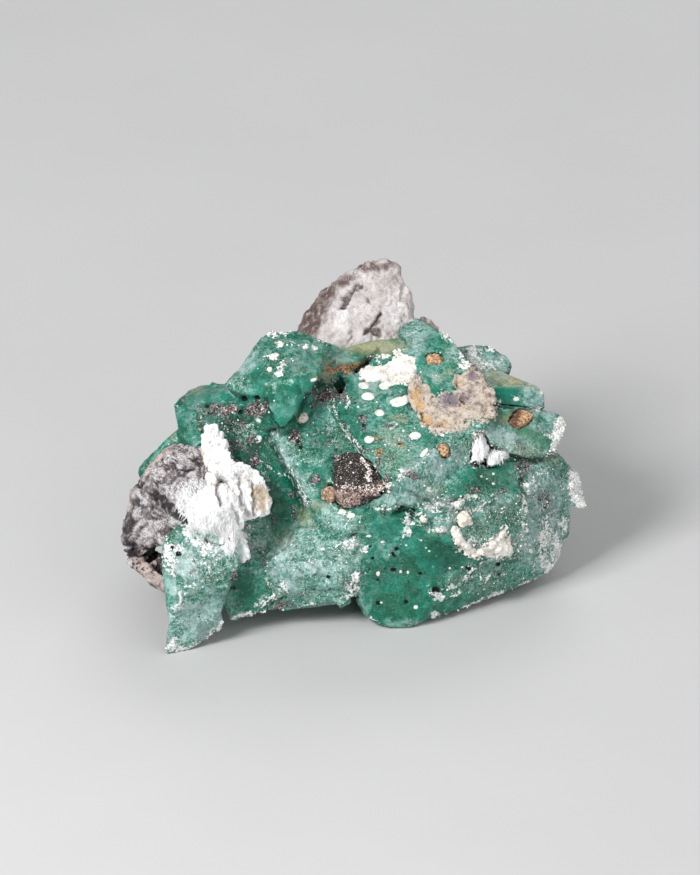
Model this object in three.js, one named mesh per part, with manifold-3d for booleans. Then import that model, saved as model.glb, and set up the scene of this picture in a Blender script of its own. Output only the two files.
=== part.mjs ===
// A hand-sized specimen of melanterite: a clump of blocky green crystals grown into each other,
// with chunks of grey host rock, dark ore grains and pale crusts set into it.
// Millimetres, +Z up. The specimen stands on z = 0 and the origin is at the middle of its base.
import * as THREE from "three";
import { ConvexGeometry } from "three/addons/geometries/ConvexGeometry.js";
import { ImprovedNoise } from "three/addons/math/ImprovedNoise.js";
import { mergeVertices } from "three/addons/utils/BufferGeometryUtils.js";
import Module from "manifold-3d";

const wasm = await Module();
wasm.setup();

// Driving dimensions, in millimetres and degrees.
const SHOW_ANGLE = 27; // the showing side is laid out as it looks from this far above the table
const FIT_GAP = 0.35; // room left round each rock, grain and crust in its socket
const TABLE_SIZE = 200; // side of the block that trims the feet flat
const MIDDLE = new THREE.Vector3(0.105, 26.42, 0); // becomes the origin, under the middle of the clump
const FACE_TILT = 25; // slope of the large spotted face
const FACE_FOOT = { rise: 25, back: 8.2 }; // the lowest corner of that face

const SIN_SHOW = Math.sin(THREE.MathUtils.degToRad(SHOW_ANGLE));
const COS_SHOW = Math.cos(THREE.MathUtils.degToRad(SHOW_ANGLE));

// A point of the showing side: x across, rise up as the side is looked at, back from the front foot.
function seen(x, rise, back) {
  return new THREE.Vector3(x, back, (rise - back * SIN_SHOW) / COS_SHOW);
}

// A point given plainly: across, back and up.
function at(x, back, up) {
  return new THREE.Vector3(x, back, up);
}

// A point on the large spotted face, which slopes back at FACE_TILT, raised off it by lift.
function onFace(x, rise, lift = 0) {
  const tilt = THREE.MathUtils.degToRad(FACE_TILT);
  const reach = (rise - FACE_FOOT.rise) / (SIN_SHOW + COS_SHOW * Math.tan(tilt));
  const point = seen(x, rise, FACE_FOOT.back + reach);
  return point.addScaledVector(FACE_NORMAL, lift);
}
const FACE_NORMAL = new THREE.Vector3(0, 0, 1).applyAxisAngle(
  new THREE.Vector3(1, 0, 0),
  THREE.MathUtils.degToRad(FACE_TILT),
);

// A repeatable stream of numbers from 0 to 1.
function dice(seed) {
  let state = seed;
  return () => {
    state = (state * 16807) % 2147483647;
    return state / 2147483647;
  };
}

// A point on the flat face of the big lower crystal, which stands upright.
function onLowerFace(x, rise) {
  return seen(x, rise, 8 + 0.08 * x);
}

const noise = new ImprovedNoise();

// Solids

function solidOf(geometry) {
  const bare = new THREE.BufferGeometry();
  bare.setAttribute("position", geometry.getAttribute("position"));
  if (geometry.index) bare.setIndex(geometry.index);
  const merged = mergeVertices(bare, 1e-4);
  return new wasm.Manifold(
    new wasm.Mesh({
      numProp: 3,
      vertProperties: new Float32Array(merged.attributes.position.array),
      triVerts: new Uint32Array(merged.index.array),
    }),
  );
}

function crystal(corners) {
  return solidOf(new ConvexGeometry(corners));
}

function joined(solids) {
  return solids.reduce((whole, solid) => whole.add(solid));
}

// The outward planes of the hull of some corners.
function hullPlanes(corners) {
  const positions = new ConvexGeometry(corners).getAttribute("position");
  const planes = [];
  for (let i = 0; i < positions.count; i += 3) {
    const [a, b, c] = [0, 1, 2].map((k) => new THREE.Vector3().fromBufferAttribute(positions, i + k));
    planes.push(new THREE.Plane().setFromCoplanarPoints(a, b, c));
  }
  return planes;
}

// A rough lump that fills the hull of its corners: a ball pushed out to the hull, softened and roughened.
// grain stretches the roughness along an axis, so that a fibrous lump gets long ridges.
function lump(corners, { detail, rough, scale, grain = [1, 1, 1], soft = 0.35, seed = 0, grow = 0 }) {
  const centre = corners.reduce((sum, c) => sum.add(c), at(0, 0, 0)).divideScalar(corners.length);
  const planes = hullPlanes(corners);
  const ball = mergeVertices(new THREE.IcosahedronGeometry(1, detail).deleteAttribute("normal").deleteAttribute("uv"));
  const positions = ball.getAttribute("position");
  const ways = [];
  const reaches = [];
  for (let i = 0; i < positions.count; i++) {
    const way = new THREE.Vector3().fromBufferAttribute(positions, i).normalize();
    const reach = planes.map((plane) => {
      const facing = plane.normal.dot(way);
      return facing > 1e-6 ? -plane.distanceToPoint(centre) / facing : Infinity;
    });
    // A smooth least distance rounds the hull's edges.
    const hard = Math.min(...reach);
    const sum = reach.reduce((total, r) => total + Math.exp((hard - r) / (soft * hard * 0.3)), 0);
    reaches.push(hard * (1 - 0.3 * soft * Math.log(sum)));
    ways.push(way);
  }
  ways.forEach((way, i) => {
    const p = way.clone().multiplyScalar(reaches[i]).add(centre).divideScalar(scale);
    const [x, y, z] = [p.x * grain[0] + seed, p.y * grain[1], p.z * grain[2]];
    const ridges = 0.65 * noise.noise(x, y, z) + 0.35 * noise.noise(2.3 * x, 2.3 * y, 2.3 * z + 7);
    const r = reaches[i] + rough * ridges * 1.6 + grow;
    positions.setXYZ(i, centre.x + way.x * r, centre.y + way.y * r, centre.z + way.z * r);
  });
  return solidOf(ball);
}

// The ball, the grown ball that its socket is cut with, and both joined from several sets of corners.
function piece(cornerSets, options) {
  return {
    solid: joined(cornerSets.map((corners, i) => lump(corners, { ...options, seed: options.seed + i }))),
    socket: joined(
      cornerSets.map((corners, i) => lump(corners, { ...options, seed: options.seed + i, grow: FIT_GAP })),
    ),
  };
}

function fused(first, second) {
  return { solid: first.solid.add(second.solid), socket: first.socket.add(second.socket) };
}

// The eight corners of a box round a middle, turned so that its z axis is along up.
function boxCorners(middle, [width, depth, height], up = new THREE.Vector3(0, 0, 1), spin = 0) {
  const turn = new THREE.Quaternion().setFromUnitVectors(new THREE.Vector3(0, 0, 1), up.clone().normalize());
  turn.multiply(new THREE.Quaternion().setFromAxisAngle(new THREE.Vector3(0, 0, 1), spin));
  const corners = [];
  for (const sx of [-1, 1])
    for (const sy of [-1, 1])
      for (const sz of [-1, 1])
        corners.push(at((sx * width) / 2, (sy * depth) / 2, (sz * height) / 2).applyQuaternion(turn).add(middle));
  return corners;
}

// A small blocky crystal with uneven corners.
function chip(middle, size, random, up) {
  const spin = random() * Math.PI;
  const sides = [1, 0.85, 0.6].map((s) => size * s * (0.75 + 0.5 * random()));
  const jitter = () => (random() - 0.5) * size * 0.3;
  const lean = up ?? at(random() - 0.5, random() - 0.5, 1);
  return crystal(boxCorners(middle, sides, lean, spin).map((c) => c.add(at(jitter(), jitter(), jitter()))));
}

// Chips along a line, which give a broken, ragged edge.
function raggedEdge(from, to, count, size, seed) {
  const random = dice(seed);
  return Array.from({ length: count }, (_, i) => {
    const middle = from.clone().lerp(to, (i + 0.3 + 0.4 * random()) / count);
    return chip(middle, size * (0.7 + 0.6 * random()), random);
  });
}

// A thin growth step on a face: a flat many-cornered plate, sunk by half its thickness.
function growthStep(middle, normal, [long, wide], thick, seed) {
  const random = dice(seed);
  const turn = new THREE.Quaternion().setFromUnitVectors(new THREE.Vector3(0, 0, 1), normal.clone().normalize());
  const corners = [];
  const sides = 6;
  for (let i = 0; i < sides; i++) {
    const angle = ((i + 0.5 * random()) / sides) * Math.PI * 2;
    const reach = 0.75 + 0.3 * random();
    for (const [level, inset] of [[-1, 1.0], [1, 0.9]]) {
      const corner = at(Math.cos(angle) * long * reach * inset, Math.sin(angle) * wide * reach * inset, level * thick);
      corners.push(corner.applyQuaternion(turn).add(middle));
    }
  }
  return crystal(corners);
}

// The green crystals, each the hull of its corners, grown into one clump.

const CRYSTALS = {
  core: [
    at(-18, 17, 4.2), at(8, 16, 2.4), at(24, 27, 3.8), at(22, 40, 2.6), at(-10, 44, 2.2), at(-22, 31, 5),
    at(-11, 29, 26), at(4, 31, 25), at(16, 34, 25), at(10, 42, 27), at(-8, 42, 27),
  ],
  toe: [
    seen(-28.6, 0.3, 0.4), seen(-27.4, 0.0, 0.9), seen(-25, 0.9, 1.8), seen(-23, 2, 3), seen(-20.3, 4.4, 3.6),
    seen(-19.8, 5.1, 3.4), seen(-20.2, 6.6, 2.6), seen(-27.9, 6.2, 1.2), seen(-28.2, 3.4, 0.8),
    at(-27, 6, 5), at(-21, 7, 6), at(-26, 3, 1),
  ],
  toeRoot: [
    seen(-28, 5.5, 1.3), seen(-20.3, 6.2, 2.5), seen(-19.1, 10, 2.2), seen(-17.2, 14, 3.2), seen(-18.5, 19, 4.6),
    seen(-26.8, 19, 3.6), seen(-28.9, 16.6, 3.4), seen(-29, 13.4, 2.8), seen(-28.2, 8, 1.6), seen(-24, 11, 0.8),
    at(-28, 10, 6), at(-19, 12, 6), at(-19, 16, 17), at(-27, 15, 16),
  ],
  darkFoot: [
    seen(-20, 7.6, 5.6), seen(-18.9, 5.4, 5.4), seen(-17, 5.8, 6), seen(-13, 6.9, 7.2), seen(-12.4, 9, 7.4),
    seen(-13, 13.6, 8.2), seen(-16, 15.2, 8.8), seen(-19, 14.4, 6.2), at(-18, 18, 3.5), at(-12, 18, 3.5),
    at(-14, 20, 13),
  ],
  paleBand: [
    seen(-13.3, 12.2, 7.8), seen(-12.8, 14.4, 8.6), seen(-10.6, 15.8, 9.6), seen(-9.8, 16.8, 10.2),
    seen(-8.7, 19, 11.4), seen(-6, 19.4, 10.6), seen(-4.4, 17.8, 9), seen(0.4, 17.4, 8.4), seen(0.8, 12.5, 7.6),
    seen(-0.3, 8.8, 8), seen(-1.7, 7.8, 8.9), seen(-4.2, 8.1, 9.2), seen(-9.7, 7.3, 8.4), seen(-11.3, 6.5, 7.8),
    seen(-12.8, 8.6, 7.2), seen(-7, 12, 6.9), at(-12, 20, 4), at(0, 20, 4), at(-8, 20, 15), at(0, 18, 15),
  ],
  oliveStep: [
    seen(-9.2, 18.4, 12), seen(-7.4, 22.4, 14.2), seen(-5.8, 23.4, 13.4), seen(-5, 20, 11), seen(-6.2, 18.8, 10.8),
    at(-8, 22, 8), at(-4, 22, 16), at(-9, 20, 12),
  ],
  underLump: [
    seen(-6.3, 21.3, 10.8), seen(-5.3, 23.4, 11.6), seen(-2.5, 23.2, 11), seen(1, 24, 10.6), seen(5, 24.5, 10.2),
    seen(6.6, 22.7, 9.4), seen(5, 21, 8.6), seen(1, 20.7, 8.2), seen(-0.4, 19, 8), seen(-3, 17.2, 8.4),
    seen(-5.2, 18, 9.4), at(-4, 20, 12), at(5, 20, 12), at(0, 20, 19),
  ],
  recessWall: [
    seen(-23, 37.6, 27), seen(-16, 38.8, 25), seen(-13, 38.2, 24), seen(-12, 33, 20.5), seen(-7, 24, 16.4),
    seen(-8, 18.4, 14), seen(-12.4, 15.4, 11.8), seen(-17, 14.8, 10.8), seen(-20, 20, 13.5), seen(-23.5, 30, 19.5),
    at(-20, 30, 4), at(-4, 30, 4), at(-4, 36, 24), at(-20, 38, 24),
  ],
  speckledSlab: [
    seen(-12.4, 32.9, 19), seen(-11.9, 34, 19.8), seen(-11.1, 30.4, 16.8), seen(-8.9, 27, 14.2),
    seen(-7.1, 23.6, 11.8), seen(-6.3, 22, 10.8), seen(-2.5, 22.8, 10.8), seen(1, 24.6, 12), seen(3.4, 28.2, 14.8),
    seen(0, 32, 18), seen(-3.5, 36.8, 22), seen(-4.2, 42.4, 27), seen(-5.6, 42, 26.4), seen(-8, 38.4, 23.4),
    at(-10, 24, 14), at(-4, 20, 10), at(2, 22, 10), at(-2, 32, 22),
  ],
  upperSlab: [
    seen(-11.5, 34.1, 17), seen(-10.3, 34.4, 16.8), seen(-9.2, 35.7, 17.2), seen(-7.9, 37.9, 18.6),
    seen(-5.5, 41.2, 21), seen(-12.8, 36.4, 17.8), seen(-13.3, 38.6, 18.4), seen(-13.8, 41, 19.6),
    seen(-9, 41.8, 19.2), seen(-5.1, 43, 22.5), seen(-4.6, 47, 29), seen(-8.5, 49, 32), seen(-12.7, 48.8, 31.5),
    seen(-14.4, 47.9, 30), seen(-16.2, 45.3, 28), seen(-17.8, 43, 26), at(-16, 32, 26), at(-6, 32, 26),
    at(-10, 24, 21),
  ],
  paleWing: [
    seen(-19.8, 40.9, 24), seen(-18.2, 42.8, 26), seen(-15, 42.2, 22.4), seen(-13.4, 40, 20.2),
    seen(-15.2, 39.1, 20.8), seen(-17.4, 39.4, 21.6), seen(-19.4, 40.1, 23), at(-17, 32, 26), at(-12, 30, 24),
  ],
  backLeft: [
    seen(-27.6, 37.8, 29.5), seen(-26.4, 38.5, 31), seen(-25.4, 39.9, 33), seen(-23.5, 40.7, 35),
    seen(-20, 40.9, 33.5), seen(-18, 39.8, 28.5), seen(-27, 34.2, 27.5), seen(-24.5, 31, 23.5), seen(-20, 35, 24),
    at(-24, 43, 20), at(-13, 43, 24), at(-24, 31, 8), at(-16, 30, 8),
  ],
  farLeft: [
    seen(-33.2, 27.6, 27), seen(-32.8, 26.4, 26), seen(-32.9, 28.5, 28.4), seen(-30.3, 30, 29), seen(-28, 32.6, 29.4),
    seen(-27, 34.2, 29.6), at(-29, 36, 6), at(-22, 38, 16), at(-24, 24, 5), at(-30, 25, 9),
  ],
  spottedBlock: [
    onFace(5.3, 25), onFace(10, 30.2), onFace(15, 33.6), onFace(21.2, 36.1), onFace(19.4, 41.2), onFace(17, 43.9),
    onFace(15, 47), onFace(13.8, 48.7), onFace(9, 45.4), onFace(3.6, 45.5), onFace(-1.4, 41.2), onFace(-0.9, 37),
    onFace(1.2, 32.8), seen(-3.4, 36.6, 21.2), seen(0, 32, 15.8), seen(2.6, 28.8, 12.4),
    seen(6.6, 22.8, 9), seen(9.4, 22.1, 10), seen(12, 22.6, 12), seen(18.5, 28.8, 18),
    at(17, 36, 20), at(0, 34, 20), at(3, 22, 15),
  ],
  lowerBlock: [
    onLowerFace(0.9, 20.3), onLowerFace(6.4, 20.6), onLowerFace(8.4, 18.2), onLowerFace(11.2, 9.8),
    onLowerFace(10.4, 5.6), onLowerFace(8.6, 4.2), onLowerFace(6.9, 3.7), onLowerFace(5, 4.1), onLowerFace(3, 5.1),
    onLowerFace(1.6, 6.6), onLowerFace(0.8, 8.4), onLowerFace(0.5, 13), seen(-0.1, 13, 9), seen(0, 8.2, 9.2),
    seen(0.2, 20.4, 9.2), seen(12.4, 18.2, 10), seen(18.5, 14.4, 12.4), seen(1.2, 6, 9.4), seen(3, 4.6, 9.6),
    at(2, 18, 3), at(16, 20, 3), at(4, 13, -0.6), at(12, 13, -0.6), at(14, 22, 20), at(2, 20, 18),
  ],
  lowerStrip: [
    seen(10, 5, 9.6), seen(13.6, 5.9, 11.2), seen(20, 8.5, 16), seen(25, 10.2, 19.5), seen(28, 11.5, 21.5),
    seen(29.7, 12.4, 22.5), seen(10.8, 9.7, 8.5), seen(14, 11.4, 9.9), seen(18.6, 14.4, 12.2), seen(24, 14.6, 16),
    seen(27, 13.4, 19), at(14, 20, 2), at(26, 28, 2), at(20, 24, 12),
  ],
  shelf: [
    seen(9, 21.8, 9), seen(13.2, 22.8, 9.8), seen(18, 23.7, 12.6), seen(24.8, 24.5, 17), seen(27, 20, 18),
    seen(27, 13.6, 18.6), seen(24, 14.4, 16), seen(18.5, 14.4, 11.8), seen(14.6, 16.8, 9.6), seen(8.5, 18.4, 8.6),
    at(12, 20, 8), at(26, 28, 8), at(24, 28, 20), at(12, 20, 18),
  ],
  darkPanel: [
    seen(13.6, 25.6, 12.6), seen(13.4, 22.8, 11.6), seen(16, 27.6, 15), seen(18.5, 28.4, 17), seen(22, 29.2, 19.4),
    seen(24.6, 28.8, 20.8), seen(24.6, 24.4, 18.8), at(14, 24, 16), at(26, 28, 16), at(22, 30, 22),
  ],
  rightFlank: [
    seen(24.6, 28.8, 20.8), seen(27, 29.2, 22.5), seen(31, 30, 26), seen(32.1, 28.8, 26.6), seen(33, 27, 27),
    seen(32.7, 21.2, 26), seen(32.6, 18, 25), seen(31, 16.7, 24), seen(30.2, 15, 23.4), seen(29.8, 12.4, 22.6),
    seen(27.2, 12.9, 19.4), seen(26.6, 20, 18.2), seen(26, 25, 19), at(31, 36, 8), at(30, 37, 17), at(20, 40, 3),
    at(22, 32, 20),
  ],
  rightTip: [
    seen(33.9, 27.3, 27.4), seen(33, 27.2, 27), seen(34.6, 24, 27.2), seen(35.4, 22, 27.2), seen(34.7, 21.6, 26.8),
    seen(33.4, 22, 26.2), seen(31.2, 25, 25.2), at(31, 32, 13), at(32, 31, 17),
  ],
  nearLedge: [
    seen(17.6, 34.6, 21), seen(19, 33.4, 19.6), seen(20.6, 31.7, 18.9), seen(24, 30.2, 19.8), seen(26.7, 29.3, 21.2),
    seen(29.2, 30.2, 23.2), seen(30.6, 31.8, 24.6), seen(31.3, 33.8, 25.4), seen(31.8, 35, 26), seen(30.8, 36.3, 27.5),
    seen(28.5, 37, 28), seen(25, 37.5, 27), seen(21.3, 37.8, 25), at(26, 36, 14), at(20, 34, 12),
  ],
  middleLedge: [
    seen(20, 40.3, 28.6), seen(21.5, 37.8, 27), seen(26, 37.3, 28.4), seen(28.6, 37, 29.5), seen(28.8, 39.5, 31.5),
    seen(28, 40.4, 32.5), seen(25, 41.7, 33.5), seen(22, 43, 34.5), seen(18.5, 43.2, 33), at(24, 40, 16),
    at(16, 38, 16),
  ],
  topLedge: [
    seen(15.2, 46.7, 38), seen(17.4, 47, 39), seen(20.2, 46.9, 39.5), seen(21.6, 45.9, 39.4), seen(23.2, 45, 38.6),
    seen(23.9, 43.9, 37.5), seen(23.6, 42.8, 36), seen(18, 43, 33.5), at(22, 46, 18), at(14, 46, 18),
  ],
  paleTop: [
    seen(7, 44.8, 33.4), seen(11.4, 44.8, 33.6), seen(13.8, 48.2, 38.2), seen(12.7, 48.4, 39.5), seen(10, 50.8, 42),
    seen(8, 51.6, 42.5), seen(6.4, 49, 38.5), at(8, 48, 26), at(13, 48, 25),
  ],
  oliveBand: [
    seen(-1.4, 44.8, 31.6), seen(-1.2, 46.6, 34), seen(3, 47.8, 36.5), seen(7.4, 48, 37), seen(7.6, 45.2, 33),
    seen(3, 45, 32.2), at(3, 40, 26), at(0, 44, 24), at(8, 44, 24),
  ],
  saddle: [
    seen(-6, 42.6, 25.6), seen(-1.6, 42, 28.4), seen(-1, 46, 33.6), seen(-4.5, 47.2, 33), seen(-8, 48.6, 33.4),
    at(-4, 40, 24), at(-8, 40, 26), at(0, 36, 22),
  ],
  stainedSeat: [
    seen(-3, 42.6, 27.4), seen(-1.2, 42.4, 29), seen(0.8, 44, 30.6), seen(3.4, 46.2, 33), seen(3, 47, 34),
    seen(-1.6, 46.4, 33), seen(-3.6, 44.4, 29.6), at(-3, 38, 24), at(4, 40, 26), at(0, 42, 24),
  ],
  // The far side, which slopes down in blocks to two broad feet.
  backFootRight: [
    at(6, 38, -0.6), at(24, 36, -0.6), at(29, 40, 3), at(22, 49, 2.5), at(8, 51, -0.6), at(27, 38, 17), at(20, 47, 18),
    at(10, 49, 14), at(8, 36, 18),
  ],
  backFootLeft: [
    at(-22, 38, -0.6), at(-8, 36, -0.6), at(-6, 49, -0.6), at(-17, 48, 1), at(-26, 41, 5), at(-24, 40, 18),
    at(-12, 48, 17), at(-5, 46, 14), at(-9, 34, 16),
  ],
  backRidge: [
    at(-8, 44, 4), at(10, 46, 4), at(12, 51, 9), at(-3, 51.5, 8), at(14, 49.5, 23), at(1, 50, 20), at(-8, 46, 22),
    at(10, 44, 27), at(-4, 42, 27),
  ],
  backShoulder: [
    at(14, 40, 8), at(27, 37, 8), at(30, 40, 13), at(27, 41, 22), at(19, 47, 24), at(15, 45, 27), at(25, 36, 21),
    at(14, 38, 24),
  ],
  backLeftStep: [
    at(-28, 36, 6), at(-20, 34, 5), at(-14, 44, 6), at(-24, 45, 9), at(-29, 39, 14), at(-25, 43, 21), at(-15, 46, 22),
    at(-22, 34, 20),
  ],
};

// Growth steps on the faces: middle, outward way, half sizes and half thickness.
const LEFT_SLOPE = at(0, -0.64, 0.77);
const FRONT = at(-0.1, -1, 0.05);
const RIGHT_FRONT = at(0.52, -0.85, 0.1);
const GROWTH_STEPS = [
  [onFace(8, 35.2), FACE_NORMAL, [5.4, 4.2], 0.35],
  [onFace(3.4, 41.5), FACE_NORMAL, [4.4, 3.2], 0.35],
  [seen(-6.4, 31, 17.5), LEFT_SLOPE, [3.4, 3], 0.4],
  [seen(-10.5, 45, 25.2), at(-0.1, -0.3, 0.95), [4.2, 3.6], 0.35],
  [seen(-8.6, 13, 7.3), FRONT, [3.6, 2.2], 0.45],
  [seen(-3.4, 11.4, 7.4), FRONT, [2.6, 2.6], 0.4],
  [seen(21, 20, 14), RIGHT_FRONT, [4.2, 3.6], 0.4],
  [seen(20.5, 11, 14.2), at(0.45, -0.85, -0.2), [4.8, 1.4], 0.35],
  [seen(26, 32.2, 23), at(0.2, -0.6, 0.75), [2.8, 1.8], 0.35],
  [seen(25, 39.6, 30.4), at(0.25, -0.4, 0.85), [2.6, 2.2], 0.35],
  [seen(29.6, 22, 22.6), at(0.75, -0.65, 0.15), [2.6, 4.6], 0.4],
  [at(-4, 50.4, 12), at(-0.1, 1, 0.2), [4.2, 3.4], 0.5],
  [at(20, 48, 11), at(0.4, 0.9, 0.15), [4.6, 4], 0.5],
  [at(-18, 47, 12), at(-0.35, 0.9, 0.2), [4.4, 4.4], 0.5],
  [at(28.6, 38.6, 13), at(0.9, 0.5, 0.1), [3.4, 3.6], 0.5],
];

// Broken edges: from, to, how many chips and how large.
const RAGGED_EDGES = [
  [seen(-26.6, 1.2, 2.2), seen(-20.4, 4.8, 4), 3, 1.5],
  [seen(-18.6, 6.2, 6.4), seen(-11.6, 7.4, 8.4), 4, 1.7],
  [seen(-10.6, 7.7, 9), seen(-1.2, 8.8, 9.4), 4, 1.6],
  [seen(-22.6, 36.9, 25.6), seen(-15.4, 37.6, 23.4), 4, 2],
  [seen(-15.6, 38.2, 22.2), seen(-13.2, 34.4, 20.4), 3, 1.8],
  [seen(13.4, 6.8, 11.8), seen(28.4, 12.2, 21.8), 5, 1.4],
  [seen(14, 22.6, 10.6), seen(24.4, 23.8, 17.2), 3, 1.7],
  [seen(9.4, 20.8, 9.2), seen(13.6, 19, 9.8), 2, 1.8],
  [seen(32.2, 26.4, 26.6), seen(31, 17.4, 24.4), 3, 1.8],
  [seen(29.8, 16, 23.2), seen(28.9, 13.2, 22), 2, 1.6],
  [seen(21, 36.8, 24.6), seen(28.2, 36.2, 27.6), 2, 1.6],
  [seen(20.6, 41.8, 32), seen(27.4, 39.6, 32), 2, 1.6],
  [seen(17, 46, 38), seen(22.6, 44.6, 38), 2, 1.7],
  [seen(-13.4, 48.2, 30.6), seen(-6.2, 47.8, 31.6), 3, 1.6],
  [seen(-26.8, 37.6, 30.4), seen(-20.6, 40.2, 33.6), 3, 1.8],
  [seen(-12.6, 14.4, 9.6), seen(-9.2, 18, 11.6), 2, 1.5],
  [at(-24, 44, 10), at(-8, 49, 4), 3, 3],
  [at(8, 49.6, 12), at(24, 46, 8), 3, 3],
  [at(-6, 49, 18), at(10, 49, 21), 3, 3],
  [at(28, 38, 7), at(29, 38, 19), 2, 2.6],
];

// Host rock, ore, grains and crusts, each set in a socket of its own.

const FIBRES_DOWN = [1, 1, 0.35];

function makePieces() {
  const rockLook = { detail: 4, rough: 0.95, scale: 2.4, soft: 0.12 };
  const crustLook = { detail: 2, rough: 0.3, scale: 1.2, soft: 0.12 };
  const grainLook = { detail: 1, rough: 0.12, scale: 0.9, soft: 0.2 };

  const topRock = piece(
    [[
      seen(-9.4, 48.8, 44), seen(-6.7, 51.6, 45), seen(-5.1, 55, 46.5), seen(-3.3, 56.4, 47), seen(-0.6, 57.4, 46.5),
      seen(1, 59.6, 46), seen(3.8, 60.2, 45.5), seen(6.2, 59.8, 45.5), seen(7.5, 57.8, 44.8), seen(8.3, 55, 43.6),
      seen(9.5, 51.4, 42.6), seen(9.6, 47.4, 39.5), seen(1, 47.2, 37.6), seen(-3.4, 46, 36.4), seen(-8, 48, 39.5),
      at(-9, 49, 20), at(8, 49, 22), at(4, 52.4, 30), at(-6, 52.2, 29), at(0, 42, 24), at(5, 52, 38), at(-4, 52, 36),
    ]],
    { ...rockLook, grain: [1, 1, 0.55], seed: 3 },
  );
  const smallRock = piece(
    [[
      seen(9.6, 51.3, 43.6), seen(10.8, 51.5, 44), seen(12.2, 50.2, 43.8), seen(12.9, 48.8, 42.6), seen(9.8, 47.6, 40.8),
      seen(12.4, 47.6, 40.6), at(12, 46.6, 27), at(9.6, 46.4, 29), at(12.6, 44, 31),
    ]],
    { ...rockLook, detail: 2, rough: 0.3, scale: 1.2, seed: 11 },
  );
  const leftRockLook = { ...rockLook, rough: 0.8, grain: [0.5, 1, 1.2] };
  const leftRockBody = piece(
    [[
      seen(-30.6, 29.4, 17.6), seen(-28.2, 31.8, 19.4), seen(-24.5, 31.8, 19.4), seen(-20.5, 31, 19),
      seen(-15, 28.4, 16.6), seen(-14.4, 24, 14), seen(-15.6, 20, 12), seen(-22, 24.4, 8.2), seen(-26, 24.4, 9.4),
      seen(-31, 25.6, 13.6), seen(-33, 26.2, 17), seen(-34.6, 22.4, 16), seen(-35.7, 18.6, 14.6),
      seen(-35, 16.6, 13.4), seen(-31, 15.8, 9.8), seen(-27, 17.4, 7), seen(-22, 17, 7), at(-30, 26, 15),
      at(-22, 26, 20), at(-30, 24, 10),
    ]],
    { ...leftRockLook, seed: 5 },
  );
  // The thin lip under it, which curls down to the front foot and leaves a crevice behind it.
  const leftRockLip = piece(
    [
      [
        seen(-35.4, 18.4, 15), seen(-34.8, 14.6, 12), seen(-32.4, 11.8, 9), seen(-31, 13.4, 8.6), seen(-33.6, 17, 11.6),
        seen(-33, 19, 13), at(-34, 20, 12), at(-33, 19, 10), at(-30, 16, 6), at(-31, 20, 14),
      ],
      [
        seen(-33.2, 13.2, 10), seen(-30.6, 10.6, 7.4), seen(-28, 9.4, 5), seen(-27.8, 11.6, 5), seen(-29.4, 13.2, 7.4),
        seen(-31.8, 14.6, 9.6), at(-32, 18, 8), at(-28, 14, 4), at(-27.6, 10, 6), at(-28, 16, 9),
      ],
    ],
    { ...leftRockLook, detail: 2, rough: 0.4, scale: 1.6, seed: 7 },
  );
  const leftRock = fused(leftRockBody, leftRockLip);
  const oreLump = piece(
    [[
      seen(-3.2, 28, 14), seen(-2.4, 30.2, 15.4), seen(-1, 30.9, 15.6), seen(0.6, 30.5, 14.8), seen(2.1, 29, 13.4),
      seen(3.7, 27.5, 12.2), seen(4.8, 25.3, 10.6), seen(4, 24.2, 10), seen(1.5, 23.4, 9.4), seen(0, 22.4, 9.2),
      seen(-2.7, 22.6, 9.6), seen(-2.8, 26, 11.4), seen(0, 26.4, 9.8), at(0, 17, 18), at(3, 17, 18), at(-2, 17, 17),
    ]],
    { ...rockLook, detail: 3, rough: 0.45, scale: 1.1, seed: 17 },
  );
  const fibreCrust = piece(
    [
      [
        seen(-26, 21, 6.4), seen(-24.2, 24, 7.4), seen(-21.8, 26.4, 8.6), seen(-19.6, 27, 10), seen(-17, 24, 8.6),
        seen(-16.4, 20.4, 7.2), seen(-17.2, 18, 6), seen(-19.4, 16.4, 3.4), seen(-22.6, 16.8, 3.1),
        seen(-25, 18.8, 4.4), seen(-21, 21.6, 4.4), at(-22, 12, 17), at(-19, 12, 18),
      ],
      [
        seen(-21, 29.8, 13), seen(-18, 29.6, 13.6), seen(-15.2, 28.4, 13.4), seen(-13.4, 26, 12), seen(-12.5, 22.6, 10.6),
        seen(-12.9, 20.6, 9.8), seen(-16.8, 19.6, 7.8), seen(-19.6, 24.4, 7.6), at(-17, 16, 19), at(-15, 17, 18),
      ],
      [
        seen(-22.6, 34.8, 17.8), seen(-20.6, 35, 18.2), seen(-19.9, 31.6, 15.8), seen(-18, 28.6, 12.8),
        seen(-20.6, 26.4, 10.8), seen(-22.9, 29.6, 13.4), seen(-23, 32.4, 15.8), at(-21.8, 21, 22), at(-20.6, 20, 21),
      ],
      [
        seen(-19.1, 18.8, 5.4), seen(-17.3, 19, 6.2), seen(-16, 15.2, 5.8), seen(-17.2, 14.2, 4.6), seen(-18.3, 16.4, 4.6),
        at(-18, 10, 14), at(-16.6, 10, 12),
      ],
    ],
    { ...crustLook, grain: FIBRES_DOWN, seed: 23 },
  );
  const pocketFibres = piece(
    [
      [
        seen(17.2, 34.2, 20), seen(18.9, 34.4, 20.2), seen(20.4, 31.2, 18.6), seen(20, 29, 17), seen(17.2, 28.6, 16),
        seen(18.6, 31, 16.6), at(18, 23, 24), at(19.6, 23, 23),
      ],
      [
        seen(19.5, 30, 17.4), seen(21.4, 31.2, 18.6), seen(22.9, 30.7, 19), seen(22, 28.8, 18), seen(19.8, 28, 16.2),
        at(21.4, 22.4, 22), at(19.8, 21.6, 21),
      ],
    ],
    { ...crustLook, rough: 0.22, grain: FIBRES_DOWN, seed: 31 },
  );
  const stainLook = { ...crustLook, detail: 1, rough: 0.16, scale: 1.2, soft: 0.15 };
  const stain = (x, rise, size) => boxCorners(onFace(x, rise), [size[0], size[1], 1.5], FACE_NORMAL, size[2] ?? 0);
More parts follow.
